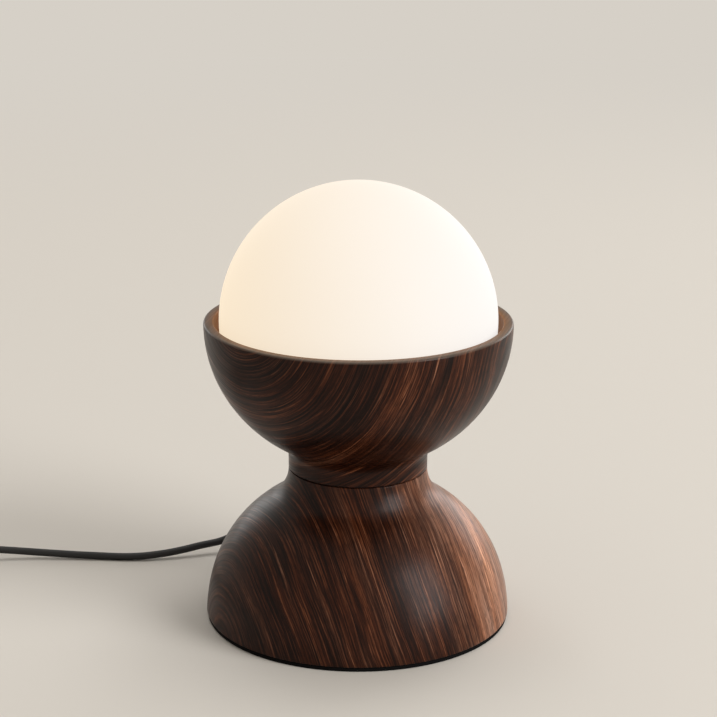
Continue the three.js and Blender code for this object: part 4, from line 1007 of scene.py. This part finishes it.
@dataclass
class TurnedBody:
    """The two turned timbers with the pad under them and the dark ring between them."""

    neck_wall: float = 3.6 * MM
    recess_radius: float = 42 * MM
    recess_rise: float = 14.1 * MM
    pole_drop: float = 11 * MM
    rim_wall: float = 6.6 * MM
    rim_above_centre: float = 0.2 * MM
    rim_round: float = 1.5 * MM
    rim_ease: float = 0.9 * MM
    upper_fillet: float = 11 * MM
    edge_ease: float = 0.35 * MM
    dome_flare: float = 0.7 * MM
    dome_collar: float = 6.9 * MM
    dome_sink: float = 2.7 * MM
    dome_fullness: float = 2.17
    dome_wall: float = 16 * MM
    web_flat: float = 1.1 * MM
    ledge_wall: float = 8.4 * MM
    foot_round: float = 1.2 * MM
    bore: float = 5.3 * MM
    exit_hole: float = 4.9 * MM
    spot_face: float = 7.7 * MM
    spot_depth: float = 3.2 * MM
    drill_overrun: float = 4 * MM
    ledge_gap: float = 0.1 * MM
    pad_edge: float = 0.6 * MM
    ring_bore: float = 12 * MM

    def build(self) -> None:
        """Turn and dress the timbers, the pad and the ring."""
        hand_over(self.bowl(), BOWL_TIMBER, Body.LAMP, "upper_bowl")
        hand_over(self.dome(), DOME_TIMBER, Body.LAMP, "lower_dome")
        hand_over(self.pad(), PAD_FOAM, Body.LAMP, "base_pad")
        hand_over(self.ring(), FIBRE, Body.LAMP, "neck_ring")

    def bowl(self) -> Piece:
        """Turn the bowl that holds the globe."""
        low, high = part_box("upper_bowl")
        outer, inner = high.x, high.x - self.rim_wall
        widest = high.z - self.rim_round
        recess = low.z + self.recess_rise
        neck = self.recess_radius + self.neck_wall
        curve = Superellipse(outer, recess - self.pole_drop - widest, 2.0, widest)
        angle, fillet = neck_fillet(curve, neck, self.upper_fillet, 10)
        centre = (0.0, high.z - self.rim_above_centre)
        ease = self.rim_ease
        start = -math.asin((ease - self.rim_above_centre) / inner)
        end = -math.acos(self.recess_radius / inner)
        return turned("bowl", [
            (self.bore, low.z),
            *arc((neck - self.edge_ease, low.z + self.edge_ease), self.edge_ease, -QUARTER, 0, 3),
            *fillet,
            *curve.points(angle, 0, 34)[1:],
            *arc((outer - self.rim_round, widest), self.rim_round, 0, QUARTER, 8)[1:],
            *arc((inner + ease, high.z - ease), ease, QUARTER, math.pi - QUARTER / 9, 5),
            *arc(centre, inner, start, end, 22)[1:],
            (self.recess_radius, recess),
            (self.bore, recess),
        ], FINE_STEPS)

    def dome(self) -> Piece:
        """Turn the hollow dome, and bore the cord's hole with its spot face."""
        low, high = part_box("lower_dome")
        bowl_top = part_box("upper_bowl")[1]
        radius = bowl_top.x + self.dome_flare
        seam = (high.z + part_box("upper_bowl")[0].z) / 2
        rise = seam - self.dome_collar + self.dome_sink
        curve = Superellipse(radius, rise, self.dome_fullness, -self.dome_sink)
        wall = self.dome_wall
        cavity = Superellipse(radius - wall, rise - wall, self.dome_fullness, -self.dome_sink)
        neck = self.recess_radius + self.neck_wall
        angle, fillet = fillet_from(high.z - self.edge_ease, curve, neck, 16)
        foot = low.z + self.foot_round
        foot_angle = curve.angle_at_height(foot)
        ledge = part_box("base_weight")[1].z + self.ledge_gap
        web = rise - wall - self.dome_sink - self.web_flat
        body = turned("dome", [
            (radius - self.ledge_wall, low.z),
            *arc((curve.place(foot_angle)[0] - self.foot_round, foot), self.foot_round, -QUARTER, 0, 6),
            *curve.points(foot_angle, angle, 40)[1:],
            *fillet[1:],
            *arc((neck - self.edge_ease, high.z - self.edge_ease), self.edge_ease, 0, QUARTER, 3),
            (self.bore, high.z),
            (self.bore, web),
            *cavity.points(cavity.angle_at_height(web), cavity.angle_at_height(ledge), 16),
            (radius - self.ledge_wall, ledge),
        ], FINE_STEPS)
        combined(body, self.exit_drill(self.exit_hole, radius - 2 * wall, radius))
        return combined(body, self.exit_drill(self.spot_face, radius - self.spot_depth, radius))

    def exit_drill(self, radius: float, start: float, end: float) -> Piece:
        """Make a drill along the cord's exit, from one distance from the axis to past another."""
        cord = Flex()
        drill = cylinder(radius, end - start + self.drill_overrun, 64)
        middle = (start + end + self.drill_overrun) / 2
        return moved(drill, cord.along_exit(middle), (0, QUARTER, cord.exit_azimuth))

    def pad(self) -> Piece:
        """Cut the foam pad with its edges a little rounded."""
        low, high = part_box("base_pad")
        return turned("foam_pad", peg(high.x, low.z, high.z, self.pad_edge, self.pad_edge), FINE_STEPS)

    def ring(self) -> Piece:
        """Cut the dark washer that keeps the timbers a hair apart."""
        low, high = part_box("neck_ring")
        corners = ((self.ring_bore, low.z), (high.x, low.z), (high.x, high.z), (self.ring_bore, high.z))
        return turned("seam_ring", corners)


@dataclass
class GlassGlobe:
    """The blown opal globe with its fire-polished mouth."""

    wall: float = 2.5 * MM
    lip: float = 0.5 * MM

    def build(self) -> None:
        """Blow the globe."""
        low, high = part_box("globe")
        radius = high.x
        centre = (0.0, high.z - radius)
        depth = centre[1] - low.z
        inner = radius - self.wall
        start = -math.asin(depth / radius)
        inner_end = -math.asin(depth / inner)
        mouth = (radius * math.cos(start) + inner * math.cos(inner_end)) / 2
        half = (radius * math.cos(start) - inner * math.cos(inner_end)) / 2
        outline = [
            (mouth + half - self.lip, low.z),
            *arc(centre, radius, start + self.lip / radius, QUARTER, 60),
            *arc(centre, inner, QUARTER, inner_end + self.lip / inner, 48),
            (mouth - half + self.lip, low.z),
        ]
        hand_over(turned("opal_globe", outline, FINE_STEPS), OPAL_GLASS, Body.GLOBE, "globe")


@dataclass
class Bulb:
    """A small screw-cap bulb with a golf-ball diffuser."""

    thread_pitch: float = 2.82 * MM
    thread_depth: float = 0.45 * MM
    rows_per_pitch: int = 8
    diffuser_radius: float = 22.5 * MM
    joint_inset: float = 3.1 * MM
    neck_radius: float = 8.2 * MM
    cap_foot: float = 3.5 * MM
    cap_foot_radius: float = 4.6 * MM
    tip_edge: float = 0.7 * MM
    base_collar: float = 4.1 * MM
    base_edge: float = 0.5 * MM
    base_lip: float = 0.6 * MM
    base_lip_inset: float = 2.3 * MM

    def build(self) -> None:
        """Make the cap, its tip, the base and the diffuser."""
        hand_over(self.cap(), ZINC, Body.BULB, "bulb_cap")
        hand_over(self.tip(), BRASS, Body.BULB, "bulb_tip")
        hand_over(self.base(), WHITE_PLASTIC, Body.BULB, "bulb_base")
        hand_over(self.diffuser(), DIFFUSER, Body.BULB, "bulb_diffuser")

    def cap(self) -> Piece:
        """Roll the screw cap: rows up its side, each drawn in by the helix that runs round it."""
        low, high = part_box("bulb_cap")
        radius, start = high.x, low.z + self.cap_foot
        rows = round((high.z - start) / self.thread_pitch * self.rows_per_pitch)
        side = [(radius, height) for height in spread(start, high.z, rows)]
        outline = [(0.0, low.z), (self.cap_foot_radius, low.z), *side, (0.0, high.z)]
        piece = turned("bulb_screw_cap", outline, SMALL_STEPS)
        rim = 2 * self.thread_pitch / self.rows_per_pitch
        for vertex in piece.data.vertices:
            out = Vector((vertex.co.x, vertex.co.y))
            if out.length < radius - WELD * 10 or not start + rim < vertex.co.z < high.z - rim:
                continue
            phase = math.tau * vertex.co.z / self.thread_pitch - math.atan2(out.y, out.x)
            out *= 1 - self.thread_depth * (1 - math.cos(phase)) / radius
            vertex.co.x, vertex.co.y = out
        return smoothed(piece, math.radians(60))

    def tip(self) -> Piece:
        """Make the rounded contact under the cap."""
        low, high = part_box("bulb_tip")
        return turned("bulb_contact_tip", peg(high.x, low.z, high.z, self.tip_edge), SMALL_STEPS)

    def base(self) -> Piece:
        """Mould the base that widens from the cap to the diffuser."""
        low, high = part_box("bulb_base")
        widening = high.x - self.base_lip_inset - self.neck_radius
        flare = [
            (
                self.neck_radius + widening * math.sin(share * QUARTER) ** 1.2,
                low.z + self.base_collar + (high.z - low.z - 2 * self.base_collar) * share,
            )
            for share in spread(0, 1, 12)
        ]
        return turned("bulb_housing", [
            (0.0, low.z), (self.neck_radius - self.base_edge, low.z),
            (self.neck_radius, low.z + self.base_edge), *flare,
            (high.x, high.z - self.base_lip), (high.x, high.z), (0.0, high.z),
        ])

    def diffuser(self) -> Piece:
        """Blow the frosted diffuser."""
        low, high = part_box("bulb_diffuser")
        radius = self.diffuser_radius
        start = -math.acos((radius - self.joint_inset) / radius)
        return turned("bulb_frosted_dome", [
            (0.0, low.z), *arc((0.0, high.z - radius), radius, start, QUARTER, 40),
        ])


@dataclass
class StrainRelief:
    """The moulded boot that guides the cord out of the dome."""

    inner_end: float = 83 * MM
    seat: float = 97.6 * MM
    bush: float = 4.6 * MM
    flange: float = 7.4 * MM
    flange_thickness: float = 2.8 * MM
    taper_length: float = 24 * MM
    taper_radius: float = 4.9 * MM
    tip_radius: float = 3.3 * MM
    groove_depth: float = 0.65 * MM
    groove_count: int = 7
    groove_start: float = 4 * MM
    cord_room: float = 2.72 * MM
    edge: float = 0.7 * MM

    def build(self) -> None:
        """Mould the boot: a bush, a rounded flange and a taper cut by grooves that let it bend."""
        face = self.seat + self.flange_thickness
        outline = [
            (0.0, self.inner_end), (self.bush, self.inner_end),
            (self.bush, self.seat), (self.flange, self.seat),
            *arc((self.flange - self.edge, face - self.edge), self.edge, 0, QUARTER, 4),
            *self.taper(face),
            (0.0, face + self.taper_length),
        ]
        boot = turned("relief_boot", outline, SMALL_STEPS)
        cord = Flex()
        moved(boot, (0, 0, cord.exit_height), (0, QUARTER, cord.exit_azimuth))
        hand_over(boot, BLACK_PLASTIC, Body.LAMP, "strain_relief")

    def taper(self, face: float) -> list[Point]:
        """Give the grooved taper's outline from the flange to the tip."""
        def radius_at(along: float) -> float:
            """Give the taper's radius at a distance from the flange."""
            return self.taper_radius + (self.tip_radius - self.taper_radius) * along / self.taper_length

        points = [(self.taper_radius, face)]
        pitch = (self.taper_length - self.groove_start - self.edge) / self.groove_count
        for i in range(self.groove_count):
            start = self.groove_start + i * pitch
            deep = min(self.groove_depth, radius_at(start) - self.cord_room)
            for share, depth in ((0.0, 0.0), (0.12, deep), (0.42, deep), (0.54, 0.0)):
                along = start + pitch * share
                points.append((radius_at(along) - depth, face + along))
        points.append((self.tip_radius, face + self.taper_length - self.edge / 2))
        points.append((self.tip_radius - self.edge / 2, face + self.taper_length))
        return points


@dataclass
class InlineSwitch:
    """The inline switch on the cord: two shells, a rocking key and two screws."""

    length: float = 62 * MM
    width: float = 27 * MM
    height: float = 18 * MM
    end_width: float = 11 * MM
    taper: float = 15 * MM
    edge: float = 1.6 * MM
    parting: float = 0.1 * MM
    window: Point = (19.2 * MM, 11 * MM)
    pocket: Point = (27 * MM, 13 * MM)
    pocket_floor: float = 2.4 * MM
    screw_place: Point = (17.5 * MM, 8.4 * MM)
    screw_recess: float = 2.4 * MM
    screw_recess_radius: float = 2.6 * MM
    pivot_depth: float = 4.6 * MM
    key_length: float = 18.6 * MM
    key_width: float = 10.4 * MM
    key_proud: float = 2.1 * MM
    key_dish: float = 1.2 * MM
    key_keel: float = 2.6 * MM
    key_tilt: float = math.radians(8)
    pin_radius: float = 1.2 * MM
    pin_length: float = 1.6 * MM
    key_edge: float = 0.4 * MM
    screw_hole_radius: float = 1.5 * MM
    frame_margin: float = 3 * MM
    frame_cut: float = 0.8 * MM
    grip_line: Place = (1.0 * MM, 10 * MM, 0.9 * MM)
    grip_start: float = 6.2 * MM
    grip_pitch: float = 2.4 * MM
    grip_count: int = 3
    groove_edge: float = 0.3 * MM

    @property
    def place(self) -> Place:
        """Give the middle of the switch on the table."""
        cord = Flex()
        return (cord.switch_x - self.length / 2, cord.switch_y, 0.0)

    def build(self) -> None:
        """Mould the shells, the key and the screws."""
        middle = self.height / 2
        base = self.form("switch_base", 0.0, middle - self.parting / 2)
        self.sink_base(base)
        hand_over(moved(base, self.place), BLACK_PLASTIC, Body.LAMP, "switch_lower_shell")
        cover = self.form("switch_cover", middle + self.parting / 2, self.height)
        self.open_cover(cover)
        hand_over(moved(cover, self.place), BLACK_PLASTIC, Body.LAMP, "switch_upper_shell")
        hand_over(self.key(), BLACK_PLASTIC, Body.ROCKER, "switch_rocker")
        for i, sign in enumerate((1, -1), 1):
            at = (self.place[0] + sign * self.screw_place[0], self.place[1] - sign * self.screw_place[1], 0.0)
            screw = small_screw(f"switch_base_screw_{i}", f"switch_screw_{i}", at)
            hand_over(screw, ZINC, Body.LAMP, f"switch_screw_{i}")

    def plan(self) -> list[Point]:
        """Give the plan outline: straight sides that curve in to slim ends."""
        half, wide, slim = self.length / 2, self.width / 2, self.end_width / 2
        shoulder = half - self.edge - self.taper
        # The last step is long enough for the rounding of the end's corners.
        corner = [
            (shoulder + (half - shoulder) * share, wide + (slim - wide) * eased(share))
            for share in (*(i / 12 for i in range(11)), 1.0)
        ]
        right = corner + [(x, -y) for x, y in reversed(corner)]
        return right + [(-x, -y) for x, y in right]

    def form(self, name: str, low: float, high: float) -> Piece:
        """Mould the whole rounded form and keep its part between two heights."""
        piece = bevelled(prism(name, self.plan(), 0.0, self.height), self.edge, 5, math.radians(60))
        for height, keep_above in ((low, True), (high, False)):
            if 0 < height < self.height:
                select_only(piece)
                bpy.ops.object.mode_set(mode="EDIT")
                bpy.ops.mesh.select_all(action="SELECT")
                bpy.ops.mesh.bisect(
                    plane_co=(0, 0, height), plane_no=(0, 0, 1), use_fill=True,
                    clear_inner=keep_above, clear_outer=not keep_above,
                )
                finish_edit()
        return smoothed(piece)

    def sink_base(self, base: Piece) -> None:
        """Sink the pocket and the screws' holes into the base."""
        cut_box(base, (*self.pocket, self.height), (0, 0, self.pocket_floor + self.height / 2))
        holes = ((self.screw_hole_radius, self.height), (self.screw_recess_radius, self.screw_recess))
        for sign in (1, -1):
            at = (sign * self.screw_place[0], -sign * self.screw_place[1], 0)
            for radius, top in holes:
                combined(base, moved(cylinder(radius, 2 * top, 32), at))

    def open_cover(self, cover: Piece) -> None:
        """Open the window for the key, with a shallow frame round it, and press grip lines by each end."""
        length, width = self.window
        top = (0, 0, self.height)
        cut_box(cover, (length, width, 2 * self.height), top)
        frame_size = (length + self.frame_margin, width + self.frame_margin, self.frame_cut)
        cut_box(cover, frame_size, top, self.groove_edge)
        for sign in (1, -1):
            for step in range(self.grip_count):
                x = sign * (length / 2 + self.grip_start + step * self.grip_pitch)
                cut_box(cover, self.grip_line, (x, 0, self.height), self.groove_edge)

    def key(self) -> Piece:
        """Mould the dished key with its pivot pins, tilted as it rests."""
        reach = self.key_length / 2
        top = self.pivot_depth + self.key_proud
        radius = math.hypot(reach, top) - self.key_dish
        end = radius * math.cos(math.asin(top / radius))
        dish = [(-end * share, top - self.key_dish * (1 - share * share)) for share in spread(-1, 1, 16)]
        outline = [
            (-reach / 2, -self.key_keel), (reach / 2, -self.key_keel), (reach - self.key_dish, 0.0),
            *dish, (-reach + self.key_dish, 0.0),
        ]
        half = self.key_width / 2
        key = bevelled(prism("switch_key", outline, -half, half), self.key_edge)
        combined(key, cylinder(self.pin_radius, self.key_width + 2 * self.pin_length, 24), "UNION")
        pivot = (self.place[0], self.place[1], self.height - self.pivot_depth)
        moved(key, turn=(QUARTER, 0, 0))
        return moved(key, pivot, (0, self.key_tilt, 0))


def small_screw(name: str, node: str, at: Place) -> Piece:
    """Turn a pan-head screw into the box of its CAD node, with a cross recess in its head, which faces down.

    Args:
        name: The new piece's name.
        node: The CAD node whose height and head it takes.
        at: The place of its axis.

    Returns:
        The screw.
    """
    low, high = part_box(node)
    head = (high.x - low.x) / 2
    head_height, edge, slot_depth = 1.7 * MM, 0.7 * MM, 1.8 * MM
    shank, slot_length, slot_width = head * 0.52, head * 1.1, head * 0.26
    screw = turned(name, [
        (0.0, low.z), *arc((head - edge, low.z + edge), edge, -QUARTER, 0, 5), (head, low.z + head_height),
        (shank, low.z + head_height), (shank, high.z - shank), (shank * 0.3, high.z), (0.0, high.z),
    ], SMALL_STEPS)
    for size in ((slot_length, slot_width), (slot_width, slot_length)):
        cut_box(screw, (*size, slot_depth), (0, 0, low.z))
    return moved(screw, (at[0], at[1], 0.0))


@dataclass
class CoilStrap:
    """The strap round the bundle of turns."""

    thickness: float = 0.9 * MM
    width: float = 9 * MM
    azimuth: float = math.radians(300)
    edge: float = 0.2 * MM
    corner: float = 1.3 * MM

    def build(self) -> None:
        """Lay the strap round the turns: an outer loop with an inner loop cut out of it."""
        cord = Flex()
        radius = cord.diameter / 2
        sag = cord.coil_inner_radius - math.sqrt(cord.coil_inner_radius ** 2 - (self.width / 2) ** 2)
        left = cord.coil_inner_radius - radius - sag - cord.tie_gap
        right = cord.coil_outer_radius - cord.coil_pitch / 2 + radius + cord.tie_gap
        low = cord.coil_low - radius - cord.tie_gap
        high = cord.coil_low + cord.coil_pitch + radius + cord.tie_gap
        half = self.width / 2
        strap = prism("coil_strap", self.loop(left, right, low, high, self.thickness), -half, half)
        room = prism("coil_room", self.loop(left, right, low, high, 0.0), -2 * half, 2 * half)
        combined(strap, room)
        bevelled(strap, self.edge, 2, math.radians(60))
        moved(strap, turn=(QUARTER, 0, 0))
        moved(strap, (cord.coil_x, cord.coil_y, 0), (0, 0, self.azimuth))
        hand_over(strap, BLACK_PLASTIC, Body.LAMP, "coil_tie")

    def loop(self, left: float, right: float, low: float, high: float, grow: float) -> list[Point]:
        """Give a rectangle with round corners, grown on all sides."""
        corner = self.corner + grow
        left, right, low, high = left - grow, right + grow, low - grow, high + grow
        corners = ((right, low), (right, high), (left, high), (left, low))
        points = []
        for i, (x, z) in enumerate(corners):
            centre = (x - corner if x == right else x + corner, z + corner if z == low else z - corner)
            points += arc(centre, corner, (i - 1) * QUARTER, i * QUARTER, 6)
        return points


@dataclass
class Plug:
    """The moulded two-pin plug at the cord's end."""

    width: float = 35 * MM
    thickness: float = 14 * MM
    waist: float = 11 * MM
    front: float = 12 * MM
    shoulder: float = 22 * MM
    relief_length: float = 20 * MM
    relief_radius: float = 4.6 * MM
    relief_tip: float = 3.2 * MM
    edge: float = 2 * MM
    pin_spacing: float = 19 * MM
    sleeve_length: float = 10 * MM
    pin_radius: float = 2 * MM
    pin_end: float = 19 * MM
    pin_round: float = 1.2 * MM
    pin_gap: float = 0.1 * MM
    sleeve_inset: float = 0.05 * MM
    grip_line: Place = (16 * MM, 1.1 * MM, 1.0 * MM)
    grip_shortening: float = 1.5 * MM
    grip_start: float = 3 * MM
    grip_pitch: float = 2.6 * MM
    grip_count: int = 4
    groove_edge: float = 0.3 * MM
    groove_depth: float = 0.45 * MM
    groove_count: int = 6
    groove_start: float = 1 * MM
    grooves_short: float = 4 * MM
    cord_room: float = 2.75 * MM
    tail_overlap: float = 3 * MM

    def build(self) -> None:
        """Mould the plug, and set its sleeved pins."""
        cord = Flex()
        place = (
            cord.coil_x - cord.coil_outer_radius,
            cord.coil_y - cord.diameter - 2 * cord.joint_gap - cord.plug_lead,
            0.0,
        )
        hand_over(moved(self.shell(), place), BLACK_PLASTIC, Body.LAMP, "plug_body")
        front = place[1] - self.relief_length - self.shoulder - self.front
        sleeve = peg(self.pin_radius - self.sleeve_inset, self.pin_gap, self.sleeve_length)
        bare_start = self.sleeve_length + self.pin_gap
        pin = peg(self.pin_radius, bare_start, self.pin_end, head=self.pin_round, steps=6)
        for i, sign in enumerate((-1, 1), 1):
            at = (place[0] + sign * self.pin_spacing / 2, front, self.thickness / 2)
            for name, outline, finish, node in (
                ("plug_pin_sleeve", sleeve, BLACK_PLASTIC, "plug_sleeve"),
                ("plug_round_pin", pin, ZINC, "plug_pin"),
            ):
                piece = moved(turned(f"{name}_{i}", outline, SMALL_STEPS), at, (QUARTER, 0, 0))
                hand_over(piece, finish, Body.LAMP, f"{node}_{i}")

    def shell(self) -> Piece:
        """Mould the flat body with its waist, the grooved tail and the finger grips."""
        wide, slim = self.width / 2, self.waist / 2
        back, shoulder = -self.relief_length, -self.relief_length - self.shoulder
        front = shoulder - self.front
        # The first step is long enough for the rounding of the waist's corners.
        side = [
            (slim + (wide - slim) * eased(share), back + (shoulder - back) * share)
            for share in (0.0, *(i / 16 for i in range(2, 17)))
        ]
        outline = [(-x, y) for x, y in side] + [(-wide, front), (wide, front)] + side[::-1]
        shell = bevelled(prism("plug_shell", outline, 0.0, self.thickness), self.edge, 5, math.radians(50))
        length, width, depth = self.grip_line
        for step in range(self.grip_count):
            y = shoulder + self.grip_start + step * self.grip_pitch
            size = (length - step * self.grip_shortening, width, depth)
            for z in (0.0, self.thickness):
                cut_box(shell, size, (0, y, z), self.groove_edge)
        tail = turned("plug_tail", self.tail_outline(), SMALL_STEPS)
        moved(tail, (0, 0, self.thickness / 2), (QUARTER, 0, 0))
        return combined(shell, tail, "UNION")

    def tail_outline(self) -> list[Point]:
        """Give the grooved taper round the cord, from its tip into the body."""
        length, edge, deep = self.relief_length, self.groove_edge, self.groove_depth
        points = [(0.0, 0.0), (self.relief_tip - edge, 0.0), (self.relief_tip, edge)]
        pitch = (length - self.grooves_short) / self.groove_count
        for i in range(self.groove_count):
            for share, depth in ((0.2, 0.0), (0.32, deep), (0.62, deep), (0.74, 0.0)):
                along = self.groove_start + (i + share) * pitch
                radius = self.relief_tip + (self.relief_radius - self.relief_tip) * along / length
                points.append((radius - min(depth, radius - self.cord_room), along))
        end = length + self.tail_overlap
        return [*points, (self.relief_radius, length), (self.relief_radius, end), (0.0, end)]


class InnerWorks:
    """The pieces inside the lamp that keep their CAD shape and get their finish here."""

    FINISHES: dict[Finish, tuple[str, ...]] = {
        CAST_IRON: ("base_weight",),
        ZINC: (
            *(f"weight_screw_{i}" for i in range(1, 5)), "threaded_nipple", "nipple_washer", "gallery_pan",
            "clamp_screw_1", "clamp_screw_2",
        ),
        BRASS: ("nipple_nut_lower", "nipple_nut_upper", "holder_thread_sleeve", "holder_centre_contact"),
        SILICONE: ("globe_seat_ring",),
        WHITE_PLASTIC: ("holder_cap", "holder_shell", "holder_insert", "lead_clamp", "switch_contact_block"),
        CORD_JACKET: ("inner_lead",),
    }

    def build(self) -> None:
        """Give each inner piece its finish."""
        for finish, nodes in self.FINISHES.items():
            for name in nodes:
                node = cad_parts[name]
                if not node.material_slots:
                    node.data.materials.append(None)
                for slot in node.material_slots:
                    slot.material = finish.material()
                log.info("%s: %s", name, finish.name)


def main() -> None:
    """Build the camera, the cord, the lamp and the studio in order."""
    logging.basicConfig(level=logging.INFO, format="%(name)s: %(message)s")
    Camera().build()
    flex = Flex()
    flex.build()
    StrainRelief().build()
    InlineSwitch().build()
    CoilStrap().build()
    Plug().build()
    TurnedBody().build()
    GlassGlobe().build()
    Bulb().build()
    InnerWorks().build()
    Studio().build()


if __name__ == "__main__":
    main()
